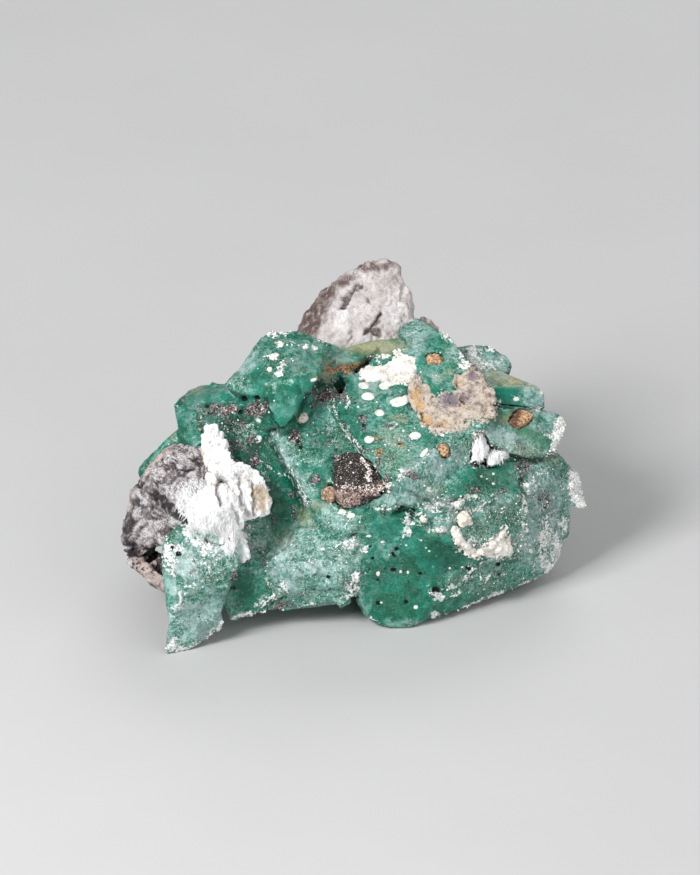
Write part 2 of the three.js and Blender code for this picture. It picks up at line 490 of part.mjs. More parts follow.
  const tanCrust = piece(
    [
      stain(9.8, 38.8, [3.8, 9.6, 0.2]), stain(13.2, 36, [8, 4.8]), stain(17.6, 38, [7.4, 6.6]),
      stain(17.6, 40.6, [4.6, 6.6, 0.35]),
    ],
    { ...stainLook, seed: 41 },
  );
  const powderCrust = piece(
    [
      stain(3.4, 42.6, [6, 3.4, 0.15]), stain(6.8, 43, [5.4, 5.2]),
    ],
    { ...stainLook, seed: 47 },
  );
  // The curled white rim on the right, as short lengths along its line.
  const rimLine = [
    seen(14.8, 19, 10.2), seen(15.6, 17, 10.2), seen(18, 15.2, 11.5), seen(20, 15.8, 12.8), seen(22.4, 18.8, 14.6),
  ];
  const rimLengths = rimLine.slice(1).map((end, i) => {
    const start = rimLine[i];
    const along = end.clone().sub(start);
    return boxCorners(start.clone().lerp(end, 0.5), [1, 1.4, along.length() + 1.4], along);
  });
  const rimPatch = [
    seen(20.4, 16.8, 13), seen(22.8, 17.8, 14.6), seen(23.6, 16.4, 15), seen(23.4, 14.6, 14.8), seen(20.8, 14.9, 12.8),
    seen(22, 16, 13.2), at(22, 17, 10), at(23.4, 18, 11),
  ];
  const rimCrust = piece([...rimLengths, rimPatch], { ...crustLook, detail: 1, rough: 0.14, seed: 53 });

  const grains = {
    brown_grain_right: [24.6, 35, 24.6, [4.6, 2.4, 2.6], 0.75],
    brown_grain_upper: [11.9, 44.1, 31.2, [2.4, 2.3, 1.8], 0.2],
    brown_grain_small: [13.3, 30.7, 15.3, [1.2, 1.5, 1.6], 0.3],
    cream_pebble: [16.2, 20.6, 11.1, [1.8, 1.9, 2.1], 0.5],
    cream_grain: [-8.4, 35.8, 20.8, [2.3, 1.4, 1.2], -0.6],
    tan_grain: [-3.9, 24.3, 11.6, [1.9, 1.8, 1.5], -0.5],
    white_nodule: [-21.6, 26.4, 8.8, [1.3, 1.6, 1.4], 0.2],
  };
  const made = {
    top_host_rock: topRock,
    small_host_rock: smallRock,
    left_host_rock: leftRock,
    ore_lump: oreLump,
    white_fibre_crust: fibreCrust,
    white_fibre_pocket: pocketFibres,
    tan_crust: tanCrust,
    white_powder_crust: powderCrust,
    white_rim_crust: rimCrust,
  };
  Object.entries(grains).forEach(([name, [x, rise, back, size, spin]], i) => {
    const corners = boxCorners(seen(x, rise, back), size, at(0, -0.4, 0.9), spin);
    made[name] = piece([corners], { ...grainLook, seed: 61 + i });
  });
  return made;
}

// Later pieces give way to earlier ones where they would meet.
const GIVES_WAY = [
  "white_nodule", "white_fibre_crust", "white_fibre_pocket", "cream_pebble", "white_rim_crust", "brown_grain_right",
  "brown_grain_upper", "brown_grain_small", "cream_grain", "tan_grain", "tan_crust", "white_powder_crust", "ore_lump",
  "small_host_rock", "left_host_rock", "top_host_rock",
];

// Materials

function material(color, roughness, extra = {}) {
  return new THREE.MeshStandardMaterial({ color, roughness, metalness: 0, ...extra });
}

const GREEN = material(0x2f9377, 0.35, { transparent: true, opacity: 0.85 });
const HOST_ROCK = material(0x9c9391, 0.9);
const PALE_ROCK = material(0xcfc6c2, 0.9);
const ORE = material(0x2b2326, 0.5);
const WHITE = material(0xe9e6e2, 0.95);
const TAN = material(0xd0b79c, 0.95);
const BROWN = material(0x9a6a3c, 0.85);
const CREAM = material(0xe6dccb, 0.85);
const MATERIALS = {
  top_host_rock: PALE_ROCK,
  small_host_rock: PALE_ROCK,
  left_host_rock: HOST_ROCK,
  ore_lump: ORE,
  tan_crust: TAN,
  brown_grain_right: BROWN,
  brown_grain_upper: BROWN,
  brown_grain_small: BROWN,
  cream_pebble: CREAM,
  cream_grain: CREAM,
  tan_grain: TAN,
};

// Assembly

// The solid with its small splinters left out.
function largest(solid) {
  return solid.decompose().sort((a, b) => b.volume() - a.volume())[0];
}

const TABLE = solidOf(
  new THREE.BoxGeometry(TABLE_SIZE, TABLE_SIZE, TABLE_SIZE).translate(0, 0, -TABLE_SIZE / 2).toNonIndexed(),
);

function greenClump() {
  const steps = GROWTH_STEPS.map(([middle, normal, size, thick], i) =>
    growthStep(middle, normal, size, thick, 101 + i),
  );
  const chips = RAGGED_EDGES.flatMap(([from, to, count, size], i) => raggedEdge(from, to, count, size, 301 + i));
  return joined([...Object.values(CRYSTALS).map(crystal), ...steps, ...chips]);
}

function meshOf(name, solid, look) {
  const { vertProperties, triVerts } = solid.getMesh();
  const geometry = new THREE.BufferGeometry();
  geometry.setAttribute("position", new THREE.BufferAttribute(vertProperties, 3));
  geometry.setIndex(new THREE.BufferAttribute(triVerts, 1));
  geometry.computeVertexNormals();
  const mesh = new THREE.Mesh(geometry, look);
  mesh.name = name;
  return mesh;
}

const specimen = new THREE.Group();
specimen.position.copy(MIDDLE).negate();
const pieces = makePieces();
let clump = greenClump();
GIVES_WAY.forEach((name, i) => {
  let solid = pieces[name].solid.subtract(TABLE);
  for (const earlier of GIVES_WAY.slice(0, i)) solid = solid.subtract(pieces[earlier].socket);
  clump = clump.subtract(pieces[name].socket);
  specimen.add(meshOf(name, largest(solid), MATERIALS[name] ?? WHITE));
});
specimen.add(meshOf("melanterite_crystals", largest(clump.subtract(TABLE)), GREEN));

export default specimen;
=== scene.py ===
import math
import random
from types import SimpleNamespace

import bmesh
import bpy
import numpy as np
from mathutils import Matrix, Vector
from mathutils.bvhtree import BVHTree


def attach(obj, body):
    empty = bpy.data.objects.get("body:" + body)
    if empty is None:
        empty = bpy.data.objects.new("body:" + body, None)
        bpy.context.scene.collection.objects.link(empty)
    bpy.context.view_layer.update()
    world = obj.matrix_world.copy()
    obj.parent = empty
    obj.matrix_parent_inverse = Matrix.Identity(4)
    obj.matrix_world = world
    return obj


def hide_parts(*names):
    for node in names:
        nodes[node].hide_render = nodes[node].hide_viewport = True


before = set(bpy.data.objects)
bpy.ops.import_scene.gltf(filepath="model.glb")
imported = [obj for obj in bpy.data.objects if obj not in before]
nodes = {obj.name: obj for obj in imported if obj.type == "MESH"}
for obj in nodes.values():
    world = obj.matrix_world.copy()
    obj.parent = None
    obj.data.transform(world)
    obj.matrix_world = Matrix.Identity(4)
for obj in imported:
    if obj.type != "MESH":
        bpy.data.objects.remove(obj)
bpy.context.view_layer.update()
scene = bpy.context.scene

# Places are given in millimetres as the showing side is looked at: x across and rise up, seen from
# 27 degrees above the table. OFFSET_X and OFFSET_Y lead from there to the part's own origin.
MM = 0.001
SHOW = math.radians(27)
SIN, COS = math.sin(SHOW), math.cos(SHOW)
OFFSET_X, OFFSET_Y = 0.105, 26.42
TO_EYE = Vector((0, -COS, SIN))
# Sight lines are cast from this many metres in front of the specimen.
SIGHT_START = 0.2
# In radians, for random turns.
FULL_TURN = 6.283


def seen(x, rise, back):
    """A point in metres from across, rise and back, as in the solids."""
    return Vector((x - OFFSET_X, back - OFFSET_Y, (rise - back * SIN) / COS)) * MM


def across_and_rise(points):
    """Across and rise, in millimetres, of an array of points in metres."""
    x = points[:, 0] / MM + OFFSET_X
    rise = (points[:, 1] / MM + OFFSET_Y) * SIN + points[:, 2] / MM * COS
    return x, rise


# Noise on arrays of points

# Large numbers that scatter a cell's place and seed over all bits.
SCATTER_X, SCATTER_Y, SCATTER_Z, SCATTER = 374761393, 668265263, 2147483647, 1274126177
POSITIVE_BITS, FRACTION_BITS = 0x7FFFFFFF, 0xFFFFF


def lattice(cells, seed):
    """A repeatable number from 0 to 1 for each whole-number cell."""
    n = cells.astype(np.int64)
    h = n[..., 0] * SCATTER_X + n[..., 1] * SCATTER_Y + n[..., 2] * SCATTER_Z + seed * SCATTER
    h = (h ^ (h >> 13)) * SCATTER
    h = h & POSITIVE_BITS
    return ((h ^ (h >> 16)) & FRACTION_BITS) / float(FRACTION_BITS)


def value_noise(points, seed):
    """Smooth noise from -1 to 1, one unit between lattice points."""
    base = np.floor(points)
    f = points - base
    f = f * f * f * (f * (f * 6 - 15) + 10)
    total = 0
    for dx in (0, 1):
        for dy in (0, 1):
            for dz in (0, 1):
                weight = (f[:, 0] if dx else 1 - f[:, 0]) * (f[:, 1] if dy else 1 - f[:, 1])
                weight = weight * (f[:, 2] if dz else 1 - f[:, 2])
                total = total + weight * lattice(base + (dx, dy, dz), seed)
    return total * 2 - 1


def fractal(points, octaves, seed):
    """Layers of noise, each about twice as fine and half as strong as the last, from about -1 to 1."""
    finer, shift, gain = 2.03, 17.3, 1.4
    total, size, reach = 0, 1.0, 0
    for i in range(octaves):
        total = total + value_noise(points * finer**i + i * shift, seed + i) * size
        reach += size
        size *= 0.5
    return total / reach * gain


def streaky(p, sway_x, sway_y, sizes, octaves, seed):
    """Noise drawn out upright, whose streaks wander sideways."""
    wide, deep, tall = sizes
    places = [(p[:, 0] + sway_x) / wide, (p[:, 1] + sway_y) / deep, p[:, 2] / tall]
    return fractal(np.stack(places, axis=1), octaves, seed)


def wander(p, size, seeds, amount, octaves=2):
    """Two noises, in mm, that make the borders of painted patches uneven."""
    return [fractal(p / size, octaves, seed) * amount for seed in seeds]


def cell_noise(points, seed):
    """For each point, the random number of its nearest cell and how far the second nearest is beyond it."""
    base = np.floor(points)
    first = np.full(len(points), 1e9)
    second = np.full(len(points), 1e9)
    number = np.zeros(len(points))
    for dx in (-1, 0, 1):
        for dy in (-1, 0, 1):
            for dz in (-1, 0, 1):
                cell = base + (dx, dy, dz)
                spot = np.stack([lattice(cell, seed + k) for k in (1, 2, 3)], axis=1)
                d = np.linalg.norm(cell + spot - points, axis=1)
                nearer = d < first
                second = np.where(nearer, first, np.minimum(second, d))
                number = np.where(nearer, lattice(cell, seed + 4), number)
                first = np.where(nearer, d, first)
    return number, second - first


def smooth(low, high, value):
    """A soft step from 0 at low to 1 at high."""
    t = np.clip((value - low) / (high - low), 0, 1)
    return t * t * (3 - 2 * t)


# Meshes as arrays


def numbers_of(items, name, width, kind=float):
    """One property of all of a mesh's points, edges or values, as rows of an array."""
    values = np.empty(len(items) * width, dtype=kind)
    items.foreach_get(name, values)
    return values.reshape(-1, width)


def arrays_of(obj):
    """An object's points and the normals there."""
    vertices = obj.data.vertices
    return numbers_of(vertices, "co", 3), numbers_of(vertices, "normal", 3)


def move_vertices(obj, co):
    obj.data.vertices.foreach_set("co", co.ravel())
    obj.data.update()


def store(obj, name, values):
    """Keeps one number for each point, which the materials read as an attribute."""
    attribute = obj.data.attributes.get(name) or obj.data.attributes.new(name, "FLOAT", "POINT")
    attribute.data.foreach_set("value", np.asarray(values, dtype=np.float32))


def new_object(name, mesh):
    obj = bpy.data.objects.new(name, mesh)
    scene.collection.objects.link(obj)
    return obj


def mesh_of(name, points, faces):
    mesh = bpy.data.meshes.new(name)
    mesh.from_pydata(points, [], faces)
    mesh.update()
    return mesh


def changed(obj, kind, **settings):
    """Gives an object the mesh that one modifier makes of its own."""
    change = obj.modifiers.new("change", kind)
    for key, value in settings.items():
        setattr(change, key, value)
    bpy.context.view_layer.update()
    done = bpy.data.meshes.new_from_object(obj.evaluated_get(bpy.context.evaluated_depsgraph_get()))
    obj.modifiers.clear()
    obj.data = done
    done.name = obj.name
    return obj


def remeshed(mesh, name, voxel_mm):
    """A new object with one even, closed surface round everything in mesh."""
    obj = new_object(name, mesh)
    changed(obj, "REMESH", mode="VOXEL", voxel_size=voxel_mm * MM, use_smooth_shade=True)
    obj.data.materials.clear()
    return obj


def thinned(obj, most):
    """Leaves fewer triangles where the surface is flat, down to the number given."""
    obj.data.calc_loop_triangles()
    count = len(obj.data.loop_triangles)
    if count > most:
        changed(obj, "DECIMATE", ratio=most / count)
    return obj


def keep_largest(obj):
    """Leaves only the largest connected part of a mesh."""
    mesh = obj.data
    ends = numbers_of(mesh.edges, "vertices", 2, np.int64)
    label = np.arange(len(mesh.vertices))
    while True:
        low = np.minimum(label[ends[:, 0]], label[ends[:, 1]])
        new = label.copy()
        np.minimum.at(new, ends[:, 0], low)
        np.minimum.at(new, ends[:, 1], low)
        new = new[new]
        if (new == label).all():
            break
        label = new
    values, counts = np.unique(label, return_counts=True)
    if len(values) == 1:
        return
    main = values[counts.argmax()]
    bm = bmesh.new()
    bm.from_mesh(mesh)
    bm.verts.ensure_lookup_table()
    bmesh.ops.delete(bm, geom=[bm.verts[i] for i in np.nonzero(label != main)[0]], context="VERTS")
    bm.to_mesh(mesh)
    bm.free()


def convexity(obj, co, no, rounds):
    """How far each vertex stands out over its neighbours, in mm: above 0 on edges, below 0 in creases."""
    a, b = numbers_of(obj.data.edges, "vertices", 2, np.int64).T
    count = np.maximum(np.bincount(a, minlength=len(co)) + np.bincount(b, minlength=len(co)), 1)

    def around(values):
        return (np.bincount(a, values[b], len(co)) + np.bincount(b, values[a], len(co))) / count

    middle = np.stack([around(co[:, k]) for k in range(3)], axis=1)
    out = np.einsum("ij,ij->i", co - middle, no) / MM
    for _ in range(rounds):
        out = (out + around(out)) / 2
    return out


def trees_of(*objs):
    """One search tree for each object."""
    bpy.context.view_layer.update()
    graph = bpy.context.evaluated_depsgraph_get()
    return [BVHTree.FromObject(obj, graph) for obj in objs]


def find(trees, x, rise):
    """Where the sight line through x and rise first meets the surfaces, and the outward way there."""
    origin = seen(x, rise, 0) + TO_EYE * SIGHT_START
    hits = [tree.ray_cast(origin, -TO_EYE) for tree in trees]
    hits = [hit for hit in hits if hit[0]]
    if not hits:
        return None, None
    where, way, _, _ = min(hits, key=lambda hit: hit[3])
    return where, way


def turned(x, y, u, v, degrees):
    """The point a step of u across and v up from x, y, once that step is turned anticlockwise."""
    t = math.radians(degrees)
    return x + u * math.cos(t) - v * math.sin(t), y + u * math.sin(t) + v * math.cos(t)


def blobs(x, rise, rows, wobble, edge):
    """How strongly each point is inside any of the ellipses in rows: x, rise, half width, half height,
    strength and turn in degrees."""
    out = np.zeros(len(x))
    for cx, cy, rx, ry, strength, *turn in rows:
        t = math.radians(turn[0]) if turn else 0
        u, v = x + wobble[0] - cx, rise + wobble[1] - cy
        a = (u * math.cos(t) + v * math.sin(t)) / rx
        b = (-u * math.sin(t) + v * math.cos(t)) / ry
        d = np.sqrt(a * a + b * b)
        out = np.maximum(out, strength * (1 - smooth(1 - edge, 1 + edge, d)))
    return out


def lines(*rows):
    """Rows of ellipses along lines: each line is its points, half width and strength."""
    ellipses = []
    for points, width, strength in rows:
        for (x0, y0), (x1, y1) in zip(points, points[1:]):
            steps = max(1, round(math.hypot(x1 - x0, y1 - y0) / width))
            for i in range(steps + 1):
                t = i / steps
                ellipses.append((x0 + (x1 - x0) * t, y0 + (y1 - y0) * t, width, width, strength))
    return ellipses


# What shows where on the showing side, as rows for blobs

# On the crystals
FROST = [
    (3, 38.6, 4, 4, 0.34), (-15, 15.6, 2, 2, 0.6), (-23, 5, 6, 6, 0.55), (-27.4, 3, 2.2, 4, 0.9),
    (-24, 11, 5, 4, 0.5), (-22, 16, 5.4, 3.4, 1), (-20.4, 13.4, 3, 2, 0.8), (-25.6, 14, 3, 3, 0.8),
    (-7, 13, 7, 4.6, 0.7), (-11, 14, 2.6, 3, 0.85), (-3, 10.4, 4, 3, 0.6), (-3, 16, 4, 2.4, 0.65),
    (-7.6, 18, 2, 2.4, 0.7), (-4, 20.4, 3, 2.4, 0.5), (-1, 19, 3, 2, 0.4), (-10.2, 17, 1, 2, 0.5),
    (-10.8, 30.6, 1.6, 4.2, 0.62, 32), (-7.6, 25, 1.2, 3, 0.55, 30), (-5, 30, 3, 3, 0.12),
    (12, 27.6, 5, 3.6, 0.75, 35), (8, 24.6, 4.2, 2.2, 0.8, 12), (12, 24.6, 2.4, 2.8, 0.7),
    (15.4, 30.6, 3.6, 2, 0.65, 35), (28, 27, 4.4, 3.4, 0.75), (28.6, 22, 3, 5, 0.7),
    (30.4, 18, 2.4, 5, 0.85), (32, 24, 2.6, 4, 0.8), (25.2, 21, 1.2, 5, 0.5), (26, 16, 2.4, 3.6, 0.6),
    (29, 14, 2, 2.4, 0.85), (26, 28.4, 2.4, 1.6, 0.8), (22, 32.6, 2.8, 1.8, 0.95, -32),
    (25.8, 31, 2.4, 1.6, 0.5), (27.2, 38.6, 2, 2.2, 0.85), (28.8, 35, 2, 2.4, 0.5),
    (16.6, 45.6, 2.4, 1.3, 0.8), (22.6, 44, 1.6, 1.8, 0.9), (19, 43.8, 3.4, 1.4, 1),
    (8.8, 49.4, 2.2, 3, 0.62), (8.6, 46.4, 1.8, 1.8, 0.6), (-18, 41, 2.4, 1.7, 0.5),
    (-16, 44.6, 1.4, 3, 0.6, -35), (-11, 46.4, 3.6, 2.6, 0.22), (-25, 36, 2.4, 4, 0.1),
    (-31.4, 28.4, 1.4, 1.6, 0.3), (2.4, 22.8, 4.4, 1.2, 0.4), (22, 23, 3.4, 1.6, 0.55, 20),
    (13, 19.6, 2.6, 2, 0.5), (20, 13.4, 4, 1.4, 0.5, 25), (3, 17, 1.6, 2.4, 0.25), (0.7, 12, 0.7, 5, 0.45),
    (7, 4.8, 3, 0.9, 0.35), (0.4, 42.6, 1, 2, 0.4),
] + lines(
    ([(5.6, 24.8), (10, 29), (14, 32.6), (18, 35)], 0.9, 0.85),
    ([(-12.2, 33.4), (-10, 28.6), (-7, 23)], 0.8, 0.8),
)

WHITE = [
    (-23.4, 18.6, 2.4, 1, 1.3), (-21, 17.6, 2.6, 1, 0.8), (5, 25.4, 0.8, 0.6, 0.8),
    (-2.8, 27.4, 0.5, 0.8, 0.6), (-20.8, 18.6, 4.6, 2.4, 1.2), (-21, 16.4, 4, 1.6, 0.7),
    (-22.4, 14.2, 2.6, 1.6, 0.42), (-27.9, 15.6, 1.3, 2.2, 0.9), (-26.6, 16.4, 1.2, 1.2, 0.75),
    (-27.6, 12.8, 0.8, 1.4, 0.7, 25), (-26, 9, 0.7, 1.4, 0.75), (-26.6, 7.2, 0.6, 1, 0.7),
    (-24.6, 10.8, 1, 0.4, 0.6), (-28.3, 0.8, 0.7, 0.8, 0.9), (-27.4, 1.8, 0.6, 1.4, 0.85, -20),
    (-13.2, 10.6, 0.7, 0.5, 0.7), (-12.5, 8.8, 1, 0.5, 0.9), (-11, 10.4, 0.8, 0.7, 0.9),
    (-14.2, 7.9, 1.2, 0.5, 0.7), (-13.6, 11.4, 0.3, 0.8, 0.7, -30), (-0.1, 11.6, 0.8, 0.9, 1),
    (-0.5, 10, 0.9, 1, 0.9), (0.3, 12.6, 0.4, 0.6, 0.8), (-1.8, 8.6, 0.8, 0.6, 0.6),
    (-0.8, 16.6, 0.9, 0.7, 0.85), (0.1, 17.2, 0.3, 0.9, 0.8), (1.3, 16, 0.6, 0.8, 0.9),
    (1.7, 15.4, 0.4, 0.3, 0.8), (-2, 21.7, 0.6, 0.5, 0.9), (-0.6, 21.2, 0.7, 0.5, 1),
    (-1.6, 20.4, 0.5, 0.8, 0.6), (7.9, 20, 0.7, 1.9, 0.9), (7.6, 18.3, 0.8, 0.8, 0.7),
    (10.2, 20.4, 0.5, 0.5, 1), (9.8, 17.4, 0.4, 0.4, 0.7), (12.2, 18.9, 2.1, 0.6, 0.85, 6),
    (13, 20.8, 1.6, 0.5, 0.6), (15.2, 22.9, 1.8, 0.6, 0.95, 8), (13.3, 23.4, 0.9, 0.4, 0.7),
    (17.4, 23.8, 1, 0.35, 0.9), (19.6, 23.2, 1.6, 0.3, 0.6, 15), (22.1, 15.9, 1.4, 1.4, 1),
    (20.2, 16.4, 1.4, 0.4, 0.8, 30), (12.6, 8.8, 1.1, 0.7, 1), (11.4, 9.6, 0.4, 0.6, 0.8),
    (15.2, 9.2, 1.2, 0.4, 0.85, 12), (14.6, 10.4, 1.6, 0.4, 0.75, 18), (17, 12.2, 1.8, 0.4, 0.8, 32),
    (19.6, 14.2, 1.4, 0.28, 0.85, 22), (23.8, 14.5, 1.6, 0.2, 0.85, -18), (19.4, 11.3, 0.7, 0.3, 0.8, 30),
    (20.4, 12, 0.6, 0.25, 0.7, 30), (24, 12.8, 0.7, 0.2, 0.7, 30), (12, 6, 1, 0.5, 1, 8),
    (14, 6, 0.8, 0.3, 0.8), (25.4, 22.6, 0.7, 1.2, 0.8), (25.6, 19.4, 0.5, 2, 0.7),
    (25.3, 16.6, 0.4, 1.4, 0.55), (28.4, 17.6, 0.9, 2.4, 0.8), (28.6, 14, 0.9, 1.2, 0.85),
    (30.4, 16.4, 0.7, 2.4, 0.9), (31.6, 19.4, 0.7, 1.6, 0.75), (26.8, 13, 0.6, 0.8, 0.6),
    (33.8, 25.6, 0.7, 2.2, 1, 12), (34.7, 22.6, 0.6, 1.2, 1), (33, 26.8, 1, 0.7, 0.85),
    (30.2, 32.6, 0.7, 2.2, 1, -14), (31.3, 34.8, 0.5, 0.6, 1), (29.2, 33.2, 1.2, 0.45, 1),
    (29.3, 30.6, 0.7, 0.35, 0.9, 30), (28.3, 39.9, 0.5, 0.6, 1), (27.6, 37.2, 1, 0.4, 0.7),
    (18.6, 46.4, 2.4, 0.45, 0.85), (18.3, 44.8, 1.1, 0.9, 0.9), (20.8, 46.2, 0.8, 0.5, 0.9),
    (13.8, 48.3, 0.8, 0.6, 1), (16.5, 43.6, 0.7, 0.5, 1), (-12.7, 48.3, 0.9, 0.6, 0.95),
    (-11, 48.7, 1.2, 0.3, 0.9), (-11.4, 46.7, 0.5, 0.4, 1), (-12.3, 45.1, 0.9, 0.35, 1),
    (-12.9, 43, 0.45, 0.45, 1), (-11.1, 43.6, 0.6, 0.6, 0.9), (-11.5, 42.3, 0.8, 0.7, 0.9),
    (-7.6, 46.4, 0.5, 0.35, 1), (-6, 46.2, 0.45, 0.3, 1), (-6.3, 41.4, 0.5, 0.3, 0.9),
    (-14.5, 32.8, 0.6, 0.7, 1), (-14.6, 35.3, 0.4, 0.4, 0.8), (21.2, 29.9, 1.3, 0.7, 1, 28),
    (18.6, 28.3, 1, 0.4, 0.7), (-4.6, 48.2, 1.6, 1, 0.85, -25), (3, 44.4, 1.4, 0.4, 0.8, -30),
    (-1.2, 38.2, 0.25, 1.6, 0.6), (24.4, 38.6, 0.6, 0.4, 0.8), (22, 38.2, 0.4, 0.5, 0.8),
    (7.3, 27.9, 0.6, 0.5, 1), (6.7, 26.9, 0.4, 0.8, 0.95, -15), (10.9, 25, 0.9, 0.25, 0.85, -38),
    (18.6, 31.6, 1.5, 2.4, 0.9), (21.4, 30, 1.8, 1, 0.95), (33.6, 25.6, 1.3, 2.8, 1.4, 12),
    (34.4, 22.4, 0.9, 1.6, 1.4), (30.9, 33.6, 1, 2.2, 1.5, -14), (30, 31.4, 0.7, 1, 1.3),
    (29.2, 19, 1.4, 3.4, 0.55), (26.4, 25.6, 1.6, 1.6, 0.45), (17.6, 16.6, 2.6, 1.2, 0.6),
    (22.4, 16.4, 2, 2, 0.9), (16, 20.4, 2, 0.8, 0.5), (19, 43.8, 3.2, 1, 0.8), (17.6, 45.4, 2, 1, 0.7),
    (-24.6, 29, 1.6, 1.4, 0.6), (-14.4, 25, 1.4, 2, 0.6), (13, 22.4, 4, 1.2, 0.6),
    (9.4, 21, 1.6, 1.4, 0.55), (17.4, 21.8, 3, 0.8, 0.6), (4.6, 22.4, 2.6, 0.7, 0.5),
    (30.6, 15, 0.9, 2.6, 0.8),
] + lines(
    ([(-26.8, 0.9), (-24.8, 1), (-22.4, 2.3), (-20.6, 4.1), (-19.9, 5.2)], 0.35, 0.95),
    ([(-18.6, 5.6), (-16.4, 6), (-13.4, 6.9)], 0.3, 0.85),
    ([(-5, 16), (-3, 16.7), (-1.4, 16.9)], 0.3, 0.75),
    ([(-6.4, 14.2), (-5.2, 15)], 0.35, 0.7),
    ([(12.4, 33), (15.2, 33.9), (17.6, 35.2)], 0.22, 0.8),
    ([(14.6, 47.4), (16.3, 44.7), (17.4, 43)], 0.3, 0.95),
    ([(2, 6.2), (3.4, 4.9)], 0.25, 0.7),
    ([(15.4, 6.4), (20, 8.3), (25, 10.1), (28.6, 11.7), (29.9, 13.4)], 0.4, 1),
    ([(-13.3, 28.8), (-12.2, 27.4), (-10.4, 27.2)], 0.16, 0.7),
    ([(-12.3, 33.4), (-10.6, 29.2), (-8, 24.6), (-7, 22.6)], 0.22, 0.58),
    ([(-4.6, 41), (-3, 36.6), (-0.8, 32.6), (2, 28.4), (5, 24.6)], 0.2, 0.72),
    ([(6, 25.6), (9, 28.4), (12.4, 32)], 0.2, 0.6),
    ([(-3.2, 36.4), (-1.6, 34.2), (0.2, 32), (2, 29.8)], 0.14, 0.6),
    ([(-8.6, 7.4), (-5.2, 7.9)], 0.25, 0.7),
)

DUST = [
    (-2.8, 29, 0.8, 1.6, 0.7), (4.8, 26, 0.8, 1.2, 0.8), (1.4, 31, 1.6, 0.6, 0.6),
    (3.6, 28.6, 0.6, 1.4, 0.6), (-20.4, 37, 3.3, 1, 0.95), (-22.8, 35.4, 1.3, 2.6, 0.45),
    (-15, 37.2, 1.7, 1.2, 1), (-18.4, 31.4, 1.6, 0.9, 0.8), (-15.6, 32, 1.3, 1.3, 0.6),
    (-15, 29.6, 0.9, 1.5, 0.7), (-13.4, 28.6, 1.2, 0.8, 0.5), (-18.4, 34.4, 2.4, 1.8, 0.45),
    (-20.2, 35.4, 1.6, 1.4, 0.45), (-14.2, 25.4, 1, 2.4, 0.5), (-12.6, 20, 0.8, 1.2, 0.5),
    (-15.8, 27.6, 1, 1.4, 0.5), (-3.8, 39, 3, 1.5, 0.85), (-2.4, 41.8, 2.6, 0.8, 0.5),
    (-6.2, 38.2, 1.3, 1, 0.55), (-4.4, 33, 2.4, 2, 0.42), (-9, 32.8, 0.8, 1, 0.95, -30),
    (-8.2, 31.6, 0.4, 0.6, 1), (-6.1, 26.4, 0.9, 1, 0.9), (-2.6, 31.6, 1.4, 1.4, 0.4),
    (-9.2, 21.7, 0.5, 1.1, 0.95), (-9.6, 24.4, 1.4, 0.7, 0.55), (-12.6, 22.8, 0.6, 0.4, 0.5),
    (-1, 24.2, 1.8, 0.8, 1), (-1.8, 23, 1.1, 0.5, 0.85), (0.9, 23.5, 0.8, 0.4, 0.6),
    (4.2, 21.6, 0.8, 0.8, 0.7), (-11, 7.4, 1.6, 0.7, 0.95), (-10.6, 9, 0.6, 0.8, 0.6),
    (1.2, 35, 0.6, 1.7, 0.7), (4.8, 34.3, 0.8, 0.4, 0.8), (8.5, 27.1, 1, 0.7, 0.75),
    (18, 24.8, 1.2, 0.5, 0.85), (22.4, 24.5, 1.2, 0.4, 0.5), (25.4, 28.2, 1.4, 1.1, 0.7),
    (25.2, 26.4, 0.8, 0.9, 0.6), (28.4, 23.4, 1.6, 1.4, 0.6), (-18.4, 12, 0.9, 1, 0.65),
    (-13.8, 13.8, 0.6, 0.6, 0.6), (18.6, 28.8, 1.2, 0.45, 1), (-8, 12.8, 0.6, 0.5, 0.6),
    (5.5, 29.8, 0.5, 0.4, 0.7), (16.8, 13.2, 0.9, 0.5, 0.5), (25, 31.4, 1, 0.8, 0.5),
    (-7, 9, 1.8, 0.7, 0.35), (20.6, 21, 1.6, 0.7, 0.4), (-24, 12.8, 1, 0.5, 0.45),
]

# Each is x, rise and radius.
DARK_SPECKS = [
    (5.7, 12.9, 0.42), (6.2, 16, 0.4), (5.6, 15.3, 0.34), (5.9, 14.9, 0.24), (2.6, 14.6, 0.32),
    (3.4, 7.8, 0.42), (9.8, 12.3, 0.34), (7.6, 8, 0.4), (2.2, 16.4, 0.26), (3.4, 11.4, 0.26),
    (2.1, 13, 0.24), (-4.1, 11.8, 0.36), (12.1, 9.8, 0.6), (17.2, 12.9, 0.36), (16.8, 13.2, 0.26),
    (21.6, 13.6, 0.42), (21.7, 12.1, 0.26), (-18.4, 10.1, 0.36), (-27.4, 16.4, 0.36), (-26.5, 15.4, 0.5),
    (-22.3, 12.9, 0.22), (-23.5, 5.8, 0.22), (8, 11, 0.2), (4.4, 13.1, 0.2), (-16.8, 38.6, 0.5),
    (-14.8, 38.7, 0.4), (-22.4, 37.6, 0.4), (-19.2, 36.8, 0.36), (-17.4, 36.6, 0.4), (-9.2, 33, 0.4),
    (-8.6, 32.2, 0.4), (-8.2, 31.4, 0.36), (-3.8, 25.5, 0.5), (-2.7, 25, 0.4), (0.9, 36, 0.28),
    (1.2, 34.6, 0.28), (6.6, 31.9, 0.3), (18.4, 28.9, 0.6), (19.4, 28.8, 0.36), (17.6, 29, 0.3),
]

